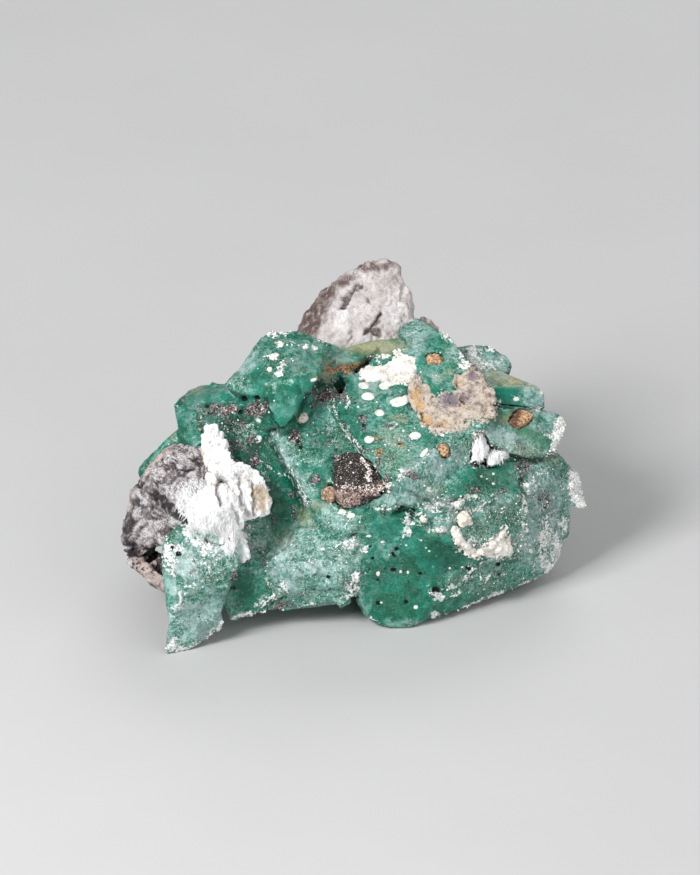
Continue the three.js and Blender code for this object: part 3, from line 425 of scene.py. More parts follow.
BROWN = [
    (-1.2, 42.7, 1, 0.35, 0.9), (-26.3, 38.2, 0.5, 0.35, 0.7), (-25, 39.2, 0.3, 0.6, 0.5),
    (3.4, 32, 0.4, 0.6, 0.6), (3.6, 30.4, 0.5, 0.6, 1), (6.8, 32, 0.6, 0.4, 0.8), (3, 32.6, 0.6, 0.5, 0.8),
    (5.2, 30.2, 0.4, 0.3, 0.8), (4.6, 32.2, 1, 0.35, 0.6), (-5.9, 19.4, 0.35, 0.35, 0.5),
    (-4.4, 25.4, 0.8, 0.3, 0.6),
] + lines(
    ([(-4.2, 43), (-2.6, 43.2), (-0.8, 43.5), (0.6, 44), (1.8, 44.6)], 0.5, 0.95),
)

OLIVE = [
    (3, 46.6, 4.4, 1.2, 0.95), (23, 41.8, 4.8, 1, 1, -12), (27, 40.7, 1.6, 0.5, 0.9, -20),
    (-3.4, 44.2, 2.6, 0.5, 0.35), (-4.6, 41.9, 1.4, 0.8, 0.7), (-7.6, 21, 0.9, 1.6, 0.6),
    (-10.6, 17.4, 1, 1.6, 0.5, -25), (-5.8, 22.6, 1.6, 0.6, 0.5), (6.3, 31.7, 1.5, 0.35, 0.7),
    (6.4, 35.6, 1.4, 0.6, 0.5), (12.6, 41.8, 1, 0.4, 0.6), (14.2, 42.8, 0.6, 0.6, 0.5),
    (-24.6, 40, 2, 0.5, 0.55), (-27.8, 34.4, 0.5, 2, 0.4), (20, 40.8, 1.2, 0.5, 0.6),
    (22.4, 32, 2, 1, 0.4, -32), (26, 30.6, 2, 1.2, 0.35), (11.8, 24.4, 1.4, 1.4, 0.3),
    (5.4, 33, 2, 1, 0.25), (29.6, 29.4, 1.8, 0.6, 0.3), (6, 29.4, 3, 2, 0.14), (26, 33, 3, 1.6, 0.15),
    (24, 35.4, 2.4, 1, 0.7),
]

PINKISH = [
    (13, 22.8, 3, 0.8, 0.4), (29, 22.6, 1.6, 1.6, 0.8), (27.6, 24.6, 1.4, 0.8, 0.6),
    (30.6, 17, 1, 2.6, 0.5), (-12, 7.4, 3, 0.8, 0.5), (26.6, 20, 1, 2, 0.4), (-3.6, 38.6, 2.4, 1, 0.4),
]

# Painted shade: darker patches in recesses, under ledges and on a strongly lit top face.
PAINTED_SHADE_PATCHES = [
    (-10, 45, 4, 2.2, 0.3), (-5.4, 31, 3, 4, 0.2), (15, 16.4, 3, 1.4, 0.4, 20), (-18.4, 34.4, 3, 2.2, 1),
    (-15.4, 31, 1.8, 3.4, 0.9), (-13.4, 26, 2.2, 5.4, 0.8, 14), (-11.8, 20.8, 2, 3.6, 0.6, 16),
    (-14.4, 18.4, 2.4, 2, 0.2), (-25.6, 36, 1.8, 4, 0.35), (-10.4, 26, 1.2, 3, 0.5, 30),
    (-3.4, 40.6, 2.6, 1.4, 0.6), (0.6, 22.6, 2.4, 0.8, 0.5), (14.8, 14.6, 4, 2.6, 0.45, 20),
    (11, 13, 3, 3, 0.35), (-7.8, 22.4, 1, 2, 0.5), (20, 36, 3, 0.6, 0.6), (26, 29.6, 3, 0.5, 0.7, 4),
    (-22, 33.4, 1.4, 2, 0.4), (-6.4, 35.6, 1.2, 2.6, 0.5, -30), (-16.4, 10, 2, 2.4, 0.4),
    (3.6, 24.8, 2, 0.8, 0.5), (-10.6, 33.8, 2.4, 0.6, 0.6),
]

DEEP = [
    (6.4, 9, 3.4, 2.6, 0.9), (21, 9.6, 4, 0.7, 0.8, 22), (-13.2, 30.4, 1.3, 3.6, 1, 22),
    (-10.6, 25, 2.2, 3.4, 1, 25), (-12, 20.4, 2, 3.4, 0.9), (-18.4, 34, 2.2, 2, 0.8),
    (-16.4, 30.6, 1.4, 1.2, 0.6), (12.6, 15, 4.4, 3.2, 1), (10, 12, 3, 4, 0.6), (19, 26.6, 5, 2.1, 1, 12),
    (15.4, 25.2, 1.8, 1.2, 1), (22.6, 27.4, 2, 1.6, 0.9), (9.2, 21.4, 1, 0.6, 0.9),
    (20, 19.2, 2.2, 1.3, 0.75), (24, 20, 0.9, 2.2, 0.9), (-16, 9.6, 2.6, 2.2, 0.95),
    (-14, 10.6, 1.6, 1.4, 0.9), (-18.8, 7, 1, 1.3, 0.7), (5.6, 29, 1.6, 2.6, 0.5),
    (9, 31.8, 2.4, 1.2, 0.45), (-10, 40.4, 0.8, 0.9, 0.8), (24, 12, 3, 0.8, 0.6, 22),
    (17.4, 10, 3, 0.8, 0.5, 20), (16.4, 31.2, 1.2, 1, 0.6), (-7.8, 42.6, 0.7, 0.4, 0.4),
    (22.6, 39.4, 1.6, 0.8, 0.5), (27.4, 32.4, 1, 0.8, 0.4), (-2.8, 30.4, 1, 1, 0.5),
    (24.4, 24.2, 0.8, 1.4, 0.6),
]

SPECKLED = [
    (6, 30, 5, 4, 0.9), (9, 35, 4, 3, 0.5), (15, 29.6, 3, 2, 0.8), (12, 27, 4, 3, 0.6),
    (20, 20, 6, 4.6, 1), (25.6, 19, 2, 7, 1), (29, 22, 4, 8, 0.8), (-7, 13, 8, 6, 0.75),
    (-2, 19, 4, 3, 0.6), (-11, 44.6, 5, 3.6, 0.4), (-5, 32, 5, 5, 0.4), (-15, 17.6, 2.4, 3.6, 0.95),
    (-18, 34, 4, 4, 0.35), (20, 11.4, 7, 2.6, 0.7), (-23, 13, 5, 3, 0.7), (5, 13, 6, 7, 0.22),
    (23, 30.6, 3, 1.6, 0.5), (13.4, 43, 3, 3, 0.5), (-21, 36, 3, 2, 0.4), (19, 26, 5, 2, 0.35),
]

# Dark cracks; the lines under the overhanging tongue and under the right ledge are painted shadow seams.
CRACKS_AND_SHADOW_SEAMS = lines(
    ([
        (-13.5, 38.6), (-12.9, 36.3), (-11.6, 34), (-10.3, 34.2), (-9, 35.6), (-7.7, 37.8), (-5.4, 41),
    ], 0.3, 1),
    ([(-13.2, 33), (-11.7, 29.8), (-9.4, 25.8), (-7.9, 22.6)], 0.26, 1),
    ([(19.3, 33), (20.3, 31.4), (23, 30.2), (26, 29.2), (28.6, 29.4)], 0.3, 1),
    ([(-9.2, 18.4), (-10.6, 16.4), (-13, 14.6)], 0.2, 0.7),
    ([(-5.6, 42.4), (-3.8, 38.4), (-0.6, 33), (2.4, 28.8), (5.4, 24.6)], 0.16, 0.6),
    ([(20.6, 37.4), (24, 37.3), (28.4, 37)], 0.26, 0.8),
    ([(0.2, 7.6), (-0.4, 12), (0.6, 17)], 0.2, 0.6),
    ([(8.4, 24.6), (12, 22.4), (16, 23.9)], 0.2, 0.7),
)

# On the rocks, the fibrous crust and the ore
LEFT_BAND = [
    (-32.4, 25.6, 1.6, 0.5, 0.8, 24), (-30, 24.2, 1.7, 0.7, 1, -32), (-28.2, 22.6, 1.7, 0.8, 1, -36),
    (-26.4, 21.2, 1.4, 0.8, 1, -34), (-25.2, 20, 0.8, 0.9, 0.9), (-33.9, 19.4, 0.8, 2.4, 0.9, -16),
    (-33.9, 17, 0.9, 0.8, 1), (-33.2, 22.6, 0.5, 1.6, 0.7, -20), (-29, 26.2, 1.8, 0.35, 0.6, -14),
    (-26.2, 28, 2.2, 0.4, 0.8, -10), (-23.8, 28.8, 1.2, 0.5, 0.9, -20), (-31.6, 20.8, 0.6, 0.8, 0.6),
    (-26.9, 18.8, 1.1, 0.6, 0.9), (-25.6, 18.2, 0.8, 0.7, 0.8), (-32.6, 18.4, 0.5, 0.9, 0.5),
    (-30.4, 22.4, 0.5, 0.6, 0.7), (-22.6, 27, 0.7, 0.6, 0.6),
]

# The crevice under the rock's tail: sunk, and painted dark as painted shade.
SHADED_CREVICE = lines(
    ([(-34, 15.9), (-32.6, 15.2), (-31, 14.7), (-29.6, 13.7), (-28.8, 12.6)], 0.85, 1),
)

# Pale streaks, and paler patches on the rock's upper part painted as highlight.
LEFT_PALE_AND_HIGHLIGHT = [
    (-25.4, 24.2, 2.4, 1.7, 0.75, -10), (-28, 25, 1.6, 0.7, 0.7, -20), (-31, 24, 0.8, 0.9, 0.6),
    (-29.6, 19.6, 1.6, 1.2, 0.35), (-31, 17.8, 1.6, 1, 0.5), (-28.8, 17, 1.4, 0.9, 0.65),
    (-24.4, 26.4, 1, 1, 0.6), (-24.4, 22.4, 2.2, 2.2, 1), (-26.4, 22.8, 1.6, 1.2, 0.8),
    (-20, 29.4, 1, 0.8, 0.8), (-24.6, 29.8, 1.8, 0.6, 0.5), (-22.6, 25.4, 1, 1.4, 0.9),
    (-26.4, 29.4, 2.6, 1, 0.6, -12), (-30.2, 27.4, 1.6, 0.8, 0.55, -34), (-32.4, 21.4, 0.8, 1.2, 0.6),
    (-27, 20.2, 1.2, 0.5, 0.7, -30), (-24.6, 20.2, 1, 1.6, 0.9),
]

# Pink tints, and a pale line along the rock's outer outline painted as rim light from behind.
LEFT_PINK_AND_RIM_LIGHT = [
    (-25, 30, 3, 1, 0.35), (-30.4, 12.6, 3.4, 1.2, 0.9, -38),
] + lines(
    ([(-27.8, 31.6), (-31.2, 28.5), (-33.5, 25.4), (-34.9, 21.6), (-35.4, 18)], 0.5, 1),
)

# Pits, sunk and painted dark as painted shade.
SHADED_TOP_PITS = [
    (3.2, 48.9, 0.7, 0.6, 0.9), (2.2, 53.2, 0.4, 0.3, 0.5), (-0.9, 48.8, 0.4, 0.3, 0.5),
    (1.6, 55.4, 0.3, 0.3, 0.5), (0.6, 51, 0.5, 0.5, 0.4),
] + lines(
    ([(-2.1, 52.4), (-1.5, 53.6), (-0.8, 54.8), (0.2, 55.6), (1, 55.9)], 0.34, 1),
    ([(1.6, 48.8), (2.6, 49.6), (3.4, 50.6), (4, 51.4)], 0.4, 1),
)

TOP_PINK = [
    (-6.6, 51, 2, 3.6, 1, -25), (-4.4, 55, 1.8, 2, 0.9, -40), (-5, 52.6, 1.6, 3, 0.6, -20),
    (2.6, 58.8, 4, 0.9, 0.8), (-1.6, 56.6, 2.4, 0.9, 0.8, 25), (3.4, 48.8, 0.6, 0.7, 0.9),
    (6, 57, 1.8, 1.6, 0.4), (3, 53.6, 1.2, 1.4, 0.35), (6.6, 53, 1.4, 3, 0.25),
]

TOP_PALE = [
    (-2, 51, 1.2, 2.4, 0.8, -20), (1, 52, 2, 2, 0.5), (6, 52.4, 2, 3.6, 0.6), (0.6, 57.2, 2.4, 1.2, 0.4),
]

# Grooves in the fibre crust, sunk and painted grey as painted shade.
SHADED_GROOVES = [
    (-16.3, 21.6, 0.35, 0.8, 0.8, 30),
] + lines(
    ([(-20.9, 26.4), (-20.6, 24.6), (-20.2, 22.8)], 0.3, 1),
    ([(-17.6, 27.2), (-17.2, 24.8), (-17, 22.6)], 0.28, 0.8),
    ([(-15.6, 26.4), (-15.4, 24), (-15.2, 21.2)], 0.26, 0.9),
    ([(-18.6, 22.6), (-17.8, 21), (-17.3, 19.8)], 0.3, 0.7),
)

FIBRE_SHADE = [
    (-14.2, 23.8, 1.2, 2.2, 1, 15), (-15.2, 24.4, 0.8, 1.2, 1), (-18.6, 25.6, 1.4, 1.4, 0.5),
    (-23, 29, 0.6, 1.2, 0.8), (-14.6, 22.4, 0.5, 0.7, 1), (-16.4, 26.6, 1.4, 1, 0.5),
    (-20.7, 25, 0.4, 1.6, 0.6, -15), (-22.9, 30.4, 0.5, 0.8, 0.9), (-19, 26.8, 1, 1.2, 0.35),
    (-13.6, 25.4, 0.6, 0.8, 0.6), (-19.4, 24.6, 0.3, 1.6, 0.5), (18.4, 33.4, 0.8, 0.8, 0.6),
]

ORE_PINK = [
    (-1.2, 23.8, 2, 1.2, 1), (0.4, 24.4, 1.2, 0.6, 0.7), (3.6, 25.4, 1.4, 0.8, 0.8),
    (2.6, 24.4, 1.6, 0.6, 0.7),
]

ORE_RIMS = lines(
    ([(1, 29.3), (1.7, 28.6), (2.2, 27.6), (1.8, 26.8), (2.4, 26.2)], 0.2, 1),
    ([(-2.2, 25.5), (-0.8, 25.4), (0.8, 25.2), (2.2, 25), (3.4, 25), (4.3, 25.3)], 0.26, 1),
)

# On the tan crust
TAN_PURPLE = [
    (14.2, 38.3, 2.2, 1.3, 1, 10), (16.4, 38.6, 1.6, 1.2, 0.8), (17.6, 42, 1, 1.2, 0.95, -30),
    (17.8, 39.4, 1.2, 1.4, 0.6), (18.2, 37.4, 1.2, 1, 0.45), (9.2, 42.2, 0.9, 0.9, 0.8),
]

TAN_ORANGE = [
    (9.1, 39.4, 0.9, 1.3, 0.95), (9.6, 37.6, 0.8, 1.1, 0.95), (10.6, 35.6, 1.3, 1.1, 0.9),
    (12.6, 35, 2.2, 0.8, 0.7), (16, 37.4, 0.5, 0.6, 0.7), (15.7, 41.2, 0.8, 0.8, 0.6),
    (19.6, 38, 1.2, 2, 0.4),
]

TAN_BLACK = [
    (16, 38.1, 0.5, 0.6, 1), (10, 37, 0.3, 0.3, 0.8), (15, 38.8, 1.4, 0.6, 0.42),
    (17.6, 40.4, 0.6, 1.4, 0.42), (18.1, 41.1, 0.3, 0.4, 0.8), (16.4, 39, 0.3, 0.3, 0.6),
    (17.9, 37, 0.5, 0.4, 0.4), (19, 38.6, 0.4, 0.5, 0.35),
]

# Patches that the grains of the thin crusts and the fine fibres are strewn over. Their order counts,
# because the random choice goes by it.
TAN_PATCHES = [
    (9.3, 41.4, 0.8, 1.8, 1, 15), (9.2, 39.2, 0.6, 1.4, 1), (9.7, 37.4, 0.7, 1.5, 1),
    (11.4, 35.6, 1.8, 1.5, 1), (13.6, 35.2, 2.6, 1.4, 1), (16.4, 36.4, 2.4, 1.6, 1, 20),
    (18.8, 37.2, 2.2, 2.2, 1), (19, 39.2, 1.8, 2, 1), (17.6, 41, 1.2, 2.2, 1, -20),
    (15.6, 41.2, 0.9, 1.1, 1), (14.2, 38.4, 2.2, 1.3, 1), (16.6, 38.8, 2, 1.4, 1),
    (11.4, 38, 1.4, 1.2, 1, -40), (20.6, 36.8, 0.9, 1, 1), (17.8, 43, 0.8, 0.9, 1),
    (12.4, 33.8, 1.2, 0.6, 1), (15.4, 34.2, 1.6, 0.6, 1, 10),
]

POWDER_PATCHES = [
    (2.6, 42.4, 2.2, 0.8, 1, -8), (5.2, 42.2, 2, 0.9, 1), (7.4, 42.4, 1.4, 1.6, 1), (7.2, 44.2, 2, 1, 1),
    (4.4, 45.1, 1.4, 0.3, 1), (5.4, 41.2, 1.4, 0.7, 1), (8.4, 43.4, 0.6, 1.4, 1),
    (1.6, 43.4, 0.9, 0.3, 1, 28), (0.8, 41.8, 0.6, 0.3, 1, 20), (6.6, 45.6, 0.9, 0.6, 1),
]

RIM_PATCHES = lines(
    ([(14.9, 18.8), (15.2, 17.6), (16.2, 16.2), (17.6, 15.3), (18.6, 15)], 0.7, 1),
    ([(19, 16.2), (20.6, 17.2), (22, 18.2), (22.5, 19.2)], 0.45, 1),
) + [
    (22.1, 15.9, 1.4, 1.5, 1), (22.9, 17.2, 0.5, 1, 1), (19.2, 15.6, 0.9, 0.5, 1), (20.8, 15, 1.1, 0.4, 1),
    (20.4, 16, 0.8, 0.3, 1),
]

LEFT_TUFTS = [
    (-21.4, 22, 3.6, 2.4, 1), (-20.4, 20.6, 3, 1.6, 1), (-16.4, 24, 2.4, 3.2, 1), (-21.4, 31, 1, 3.2, 1),
    (-18.8, 17.4, 0.8, 2.4, 1), (-24.8, 22.8, 1.8, 2, 1), (-24, 24.6, 2, 1.6, 1), (-19, 27.4, 2.2, 1.2, 1),
    (-22, 20.4, 2.8, 1, 1), (-23.6, 19.2, 1.6, 0.9, 1), (-21.6, 18.4, 1.8, 1, 1),
    (-20.2, 18.8, 1.4, 1.2, 1), (-22.4, 20, 1, 0.6, 1), (-20.4, 20.4, 1, 0.8, 1),
]

POCKET_TUFTS = [
    (18.6, 31.4, 1.1, 2, 1), (21.2, 29.8, 1.2, 0.8, 1),
]

# The round white spots: x, rise, half width, half height and turn in degrees
SPOTS = [
    (1.3, 40.6, 0.9, 0.56, 0), (4.4, 40.6, 0.9, 0.6, 0), (1.9, 39, 1, 0.68, 0), (6.6, 38.2, 1.5, 0.8, 10),
    (7.6, 38.6, 0.8, 0.6, 0), (3.6, 36.5, 0.85, 0.55, 0), (8.95, 33.1, 0.95, 0.6, 0),
    (2.1, 32.5, 0.8, 0.6, 0), (10.3, 30.5, 0.95, 0.36, 48), (6.6, 45.3, 0.6, 0.4, 0),
    (-12.9, 43, 0.42, 0.42, 0), (-11.3, 46.7, 0.5, 0.36, 0), (-12.2, 45.15, 0.8, 0.32, 8),
    (-7.6, 46.35, 0.48, 0.32, 0), (-6, 46.2, 0.4, 0.28, 10), (-6.3, 41.4, 0.5, 0.28, 20),
    (2, 18, 0.42, 0.2, 0), (4.1, 17.1, 0.36, 0.2, 0), (10.2, 20.4, 0.45, 0.42, 0),
    (-2, 21.7, 0.5, 0.42, -30), (-0.6, 21.1, 0.6, 0.42, 0), (26.6, 15.6, 0.35, 0.35, 0),
    (20.8, 25.8, 0.26, 0.22, 0), (19, 26.9, 0.2, 0.2, 0), (20.8, 27.3, 0.24, 0.22, 0),
    (24.4, 38.6, 0.5, 0.34, 0), (8.2, 40, 0.3, 0.2, 0), (-12.2, 38.3, 0.14, 0.14, 0),
    (5.4, 34.1, 0.3, 0.2, 0), (7.2, 33.8, 0.22, 0.16, 0), (3.2, 38.1, 0.18, 0.14, 0),
    (0.4, 37.4, 0.2, 0.16, 0), (11.1, 15.7, 0.2, 0.14, 0), (10.6, 16.2, 0.16, 0.12, 0),
    (7.6, 16.6, 0.2, 0.14, 0), (14.2, 13.1, 0.2, 0.16, 0), (9.1, 7.2, 0.36, 0.34, 0),
    (3.9, 7.9, 0.22, 0.16, 0), (7.9, 12.5, 0.22, 0.3, 0), (6.8, 12.6, 0.24, 0.24, 0),
    (3.4, 12.3, 0.3, 0.4, 0),
]


# Pieces


def notch_crystals(bm, trees):
    """Three small crystals in the notch behind the spotted block."""
    turn = Matrix.Rotation(0.5, 4, "Y") @ Matrix.Rotation(0.4, 4, "X")
    behind = Vector((0.9, 0.2, -0.3)) * MM
    deep = 1.3
    for x, rise, wide, tall in ((-4.9, 42.4, 1.9, 1.2), (-3.2, 40.9, 1.5, 1.4), (-1.9, 41.9, 1.5, 1.2)):
        where, _ = find(trees, x, rise)
        scale = Matrix.Diagonal((wide * MM, deep * MM, tall * MM, 1))
        place = Matrix.Translation(where + behind) @ turn @ scale
        bmesh.ops.create_icosphere(bm, subdivisions=1, radius=1, matrix=place)


def paint_crystals(obj, co, no, out):
    """Stores the marks seen in the photo and, on the sides not seen, the same kinds from noise alone."""
    p = co / MM
    x, rise = across_and_rise(co)
    wobble = wander(p, 1.1, (5, 9), 0.4)
    facing = smooth(-0.25, 0.1, no @ np.array(TO_EYE))
    far = 1 - facing
    broad = fractal(p / 5.5, 3, 21)
    patchy = fractal(p / 2.2, 3, 33)
    tables = {
        "frost": (FROST, 0.6, far * smooth(-0.2, 0.8, broad) * 0.75),
        "white": (WHITE, 0.6, far * smooth(0.4, 0.9, patchy + broad * 0.4) * 0.75),
        "dust": (DUST, 0.6, far * smooth(0.45, 0.9, fractal(p / 2.6, 3, 57)) * 0.75),
        "brown": (BROWN, 0.5, far * smooth(0.7, 0.95, fractal(p / 3, 2, 63)) * 0.5),
        "olive": (OLIVE, 0.6, far * smooth(0.35, 0.8, fractal(p / 6, 2, 71)) * 0.5),
        "deep": (DEEP, 0.4, far * smooth(0, 0.6, -broad) * 0.8),
        "speckled": (SPECKLED, 0.6, far * 0.7 * smooth(-0.3, 0.5, patchy)),
        "pinkish": (PINKISH, 0.6, 0),
        "dim": (PAINTED_SHADE_PATCHES, 0.7, 0),
    }
    painted = {
        name: blobs(x, rise, rows, wobble, edge) * facing + unseen
        for name, (rows, edge, unseen) in tables.items()
    }
    specks = [(a, b, r, r * 0.85, 1) for a, b, r in DARK_SPECKS]
    painted["specks"] = blobs(x, rise, specks, (0, 0), 0.5) * facing
    # Cracks and painted shadow seams.
    painted["cracks"] = blobs(x, rise, CRACKS_AND_SHADOW_SEAMS, (wobble[0], wobble[1] * 0.3), 0.6) * facing
    painted["rim"] = smooth(0.03, 0.13, out)
    # Concave creases, for painted shade.
    painted["crease"] = smooth(0.02, 0.12, -out)
    # Broad hollows between the crystals, for painted shade.
    painted["hollow"] = smooth(0, 0.05, -convexity(obj, co, no, 16))
    for name, values in painted.items():
        store(obj, name, np.clip(values, 0, 1.5))
    return painted


def crystal_relief(p, out, painted):
    """How far each point is lifted, in mm: uneven growth, broken steps, grains, cracks and broken edges."""
    white, dust = painted["white"], painted["dust"]
    number, border = cell_noise(p / np.array((2.6, 2.6, 1.9)), 3)
    small, small_border = cell_noise(p / 0.95, 13)
    rough = 0.2 + painted["frost"] * 0.55 + dust * 0.6 + painted["speckled"] * 0.4 - painted["deep"] * 0.3
    rough = np.clip(rough, 0.1, 1)
    lift = 0.12 * fractal(p / 3.4, 3, 2) + 0.2 * rough * (number - 0.5) * smooth(0, 0.12, border)
    small_steps = 0.14 * rough * (small - 0.5) * smooth(0, 0.1, small_border)
    lift += small_steps + 0.07 * rough * fractal(p / 0.8, 2, 6)
    grain = fractal(p / 0.55, 2, 8)
    crusts = white * (0.1 + 0.14 * grain) + dust * (0.14 * grain - 0.06)
    lift += crusts - painted["specks"] * 0.25 - painted["cracks"] * 0.3
    lift -= smooth(0.04, 0.16, out) * (0.1 + 0.22 * smooth(-0.1, 0.7, fractal(p / 1.3, 2, 77)))
    off_table = smooth(0.1, 1.2, p[:, 2])
    return lift * off_table


def crystals():
    node = nodes["melanterite_crystals"]
    bm = bmesh.new()
    bm.from_mesh(node.data)
    notch_crystals(bm, trees_of(node))
    mesh = bpy.data.meshes.new("green_crystals")
    bm.to_mesh(mesh)
    bm.free()
    obj = remeshed(mesh, "green_crystals", 0.3)
    keep_largest(obj)
    co, no = arrays_of(obj)
    out = convexity(obj, co, no, 2)
    lift = crystal_relief(co / MM, out, paint_crystals(obj, co, no, out))
    move_vertices(obj, co + no * lift[:, None] * MM)
    return thinned(obj, most=194000)


def paint(obj, x, rise, wobble, edge, **tables):
    """Stores one attribute for each table of ellipses."""
    for name, rows in tables.items():
        store(obj, name, blobs(x, rise, rows, wobble, edge))


def fine_copy(node, name, voxel_mm):
    return remeshed(nodes[node].data.copy(), name, voxel_mm)


def rock(node, name, voxel_mm, grow, relief, most=60000):
    """A rock or crust from its solid, grown by grow mm into its socket. The relief function paints it and
    gives its relief in mm."""
    obj = fine_copy(node, name, voxel_mm)
    keep_largest(obj)
    co, no = arrays_of(obj)
    lift = grow + relief(obj, co / MM, *across_and_rise(co))
    move_vertices(obj, co + no * lift[:, None] * MM)
    return thinned(obj, most)


def left_rock_relief(obj, p, x, rise):
    """Short fibres: upright at the top, and further down fanned round a point low on the rock's right."""
    sway = fractal(p / 2.4, 2, 3)
    r = np.hypot(x + 27.7, rise - 20.4)
    turn = np.arctan2(rise - 20.4, x + 27.7)
    fan = fractal(np.stack([r / 1.3 + sway, turn * 7 + sway * 0.8, p[:, 1] / 2.2], axis=1), 3, 12)
    upright = streaky(p, sway * 0.5, sway * 0.5, (0.4, 0.6, 1.5), 3, 13)
    above = smooth(-1.5, 1.5, (x + 29) * 0.62 + (rise - 24.4) * 0.78 + sway)
    fine = fan * (1 - above) + upright * above
    broken = 1 - np.abs(fractal(p / 1.7, 3, 14)) * 2
    wobble = wander(p, 1.1, (81, 82), 0.7, 3)
    band = blobs(x, rise, LEFT_BAND, wobble, 0.75)
    crevice = blobs(x, rise, SHADED_CREVICE, wobble, 0.5)
    # Dark bands, and painted shade in the crevice.
    store(obj, "dark", np.clip(np.maximum(band, crevice * 1.2), 0, 1))
    store(obj, "layer", fine * 0.5 + 0.5)
    paint(obj, x, rise, wobble, 0.8, pale=LEFT_PALE_AND_HIGHLIGHT, pink=LEFT_PINK_AND_RIM_LIGHT)
    return 0.12 * fine + 0.08 * broken + 0.1 * fractal(p / 0.6, 2, 17) - 0.2 * band - 1.9 * crevice


def top_rock_relief(obj, p, x, rise):
    """Knobs and faint upright streaks, with pits on the showing side, painted dark as painted shade."""
    sway = fractal(p / 4, 2, 31) * 0.8
    streaks = streaky(p, sway, sway, (0.55, 0.7, 1.9), 3, 32)
    knobs = fractal(p / 1.5, 3, 36)
    wobble = wander(p, 0.9, (1, 2), 0.4)
    showing = smooth(-0.1, 0.3, arrays_of(obj)[1] @ np.array(TO_EYE))
    pits = blobs(x, rise, SHADED_TOP_PITS, wobble, 0.6) * showing
    # Painted shade in the pits.
    store(obj, "dark", np.clip(pits, 0, 1))
    store(obj, "layer", streaks * 0.5 + 0.5)
    paint(obj, x, rise, wobble, 0.7, pink=TOP_PINK, pale=TOP_PALE)
    return 0.12 * streaks + 0.34 * knobs + 0.1 * fractal(p / 0.5, 2, 38) - 0.8 * pits


def fibre_relief(obj, p, x, rise):
    """Upright fibres and grooves. The lower edge thins out and takes on some of the green below it."""
    sway = fractal(p / 3, 2, 41)
    fibres = streaky(p, sway * 0.7, sway * 0.5, (0.42, 0.5, 2.2), 2, 42)
    lumps = fractal(p / 1.2, 3, 43)
    wobble = wander(p, 0.8, (44, 45), 0.3)
    grooves = blobs(x, rise, SHADED_GROOVES, wobble, 0.6)
    paint(obj, x, rise, wobble, 0.6, shade=FIBRE_SHADE)
    store(obj, "grooves", grooves)
    store(obj, "layer", fibres * 0.5 + 0.5)
    ragged = fractal(p / 1.3, 3, 46)
    low = smooth(20.4, 18, rise + ragged * 1.2) * smooth(-18.6, -19.6, x)
    strip = smooth(-20.6, -20, x) * smooth(-17.4, -18, x)
    store(obj, "teal", smooth(19.6, 17.8, rise + ragged * 1.4 + strip * 3.4) * smooth(-16.5, -17.5, x))
    lift = 0.26 * fibres + 0.1 * lumps + 0.1 * fractal(p / 0.4, 2, 48) - 0.5 * grooves - 0.55 * low
    return lift - 0.15 * smooth(0.1, 0.6, ragged)


def ore_relief(obj, p, x, rise):
    """Small grains, with a step between the dark upper part and the pinkish lower one."""
    number, border = cell_noise(p / 0.75, 51)
    wobble = wander(p, 0.7, (53, 54), 0.4)
    paint(obj, x, rise, wobble, 0.5, pink=ORE_PINK)
    step = blobs(x, rise, lines(([(-2.6, 25.2), (0, 24.9), (2, 24.6), (4, 24.6)], 0.3, 1)), wobble, 0.6)
    return 0.3 * (number - 0.5) * smooth(0, 0.15, border) + 0.22 * fractal(p / 1.3, 2, 52) - 0.4 * step


def grain_relief(obj, p, x, rise):
    """Fine knobs. The grain on the right ledge is split into a dark and a light part."""
    split = smooth(25.3, 24.7, x + fractal(p / 0.8, 1, 67) * 0.3)
    store(obj, "split", split * smooth(20, 21, x))
    return 0.16 * fractal(p / 0.55, 3, 61) + 0.14 * fractal(p / 1.1, 2, 62)


def small_rock_relief(obj, p, x, rise):
    store(obj, "dark", 0.2 * smooth(0.3, 0.8, fractal(p / 0.9, 2, 65)))
    store(obj, "layer", fractal(p / 0.8, 2, 66) * 0.5 + 0.5)
    store(obj, "pink", np.full(len(p), 0.6))
    store(obj, "pale", np.full(len(p), 0.2))
    return 0.22 * fractal(p / 0.8, 3, 64)


def lump_shapes(rng):
    """A few jittered, closed, many-sided grains of unit size."""
    shapes = []
    kinds = 16
    for _ in range(kinds):
        bm = bmesh.new()
        bmesh.ops.create_icosphere(bm, subdivisions=1, radius=0.5)
        stretch = [0.6 + 0.7 * rng.random() for _ in range(3)]
        for v in bm.verts:
            v.co = Vector(c * s * (0.75 + 0.5 * rng.random()) for c, s in zip(v.co, stretch))
        shapes.append(([v.co.copy() for v in bm.verts], [[v.index for v in f.verts] for f in bm.faces]))
        bm.free()
    return shapes


def grain_shapes(places, seed):
    """The points and faces of many grains, each given by its place in metres and its size in mm."""
    rng = random.Random(seed)
    shapes = lump_shapes(rng)
    points, faces = [], []
    for place, size in places:
        shape, tris = shapes[rng.randrange(len(shapes))]
        angle = rng.random() * FULL_TURN
        axis = Vector((rng.gauss(0, 1), rng.gauss(0, 1), rng.gauss(0, 1))).normalized()
        turn = Matrix.Rotation(angle, 3, axis)
        start = len(points)
        points.extend(place + turn @ q * size * MM for q in shape)
        faces.extend([start + i for i in f] for f in tris)
    return points, faces


def joined_grains(name, items, seed):
    """One object of many grains, each given by its place, size and tint. The tint is stored on it."""
    points, faces = grain_shapes([item[:2] for item in items], seed)
    obj = new_object(name, mesh_of(name, points, faces))
    store(obj, "tint", np.repeat([item[2] for item in items], len(points) // len(items)))
    return obj


def sunk_base(node, name, patches, thin, seed):
    """A thin crust's solid, made uneven and drawn in along the way that it faces."""
    base = fine_copy(node, name + "_base", 0.25)
    trees = trees_of(base)
    ways = [find(trees, row[0], row[1])[1] for row in patches]
    out = sum((way for way in ways if way), Vector()).normalized()
    co, no = arrays_of(base)
    co = co + no * (0.15 + 0.3 * fractal(co / MM / 1.2, 2, seed))[:, None] * MM
    move_vertices(base, co - np.array(out) * (thin + 0.15) * MM)
    return base


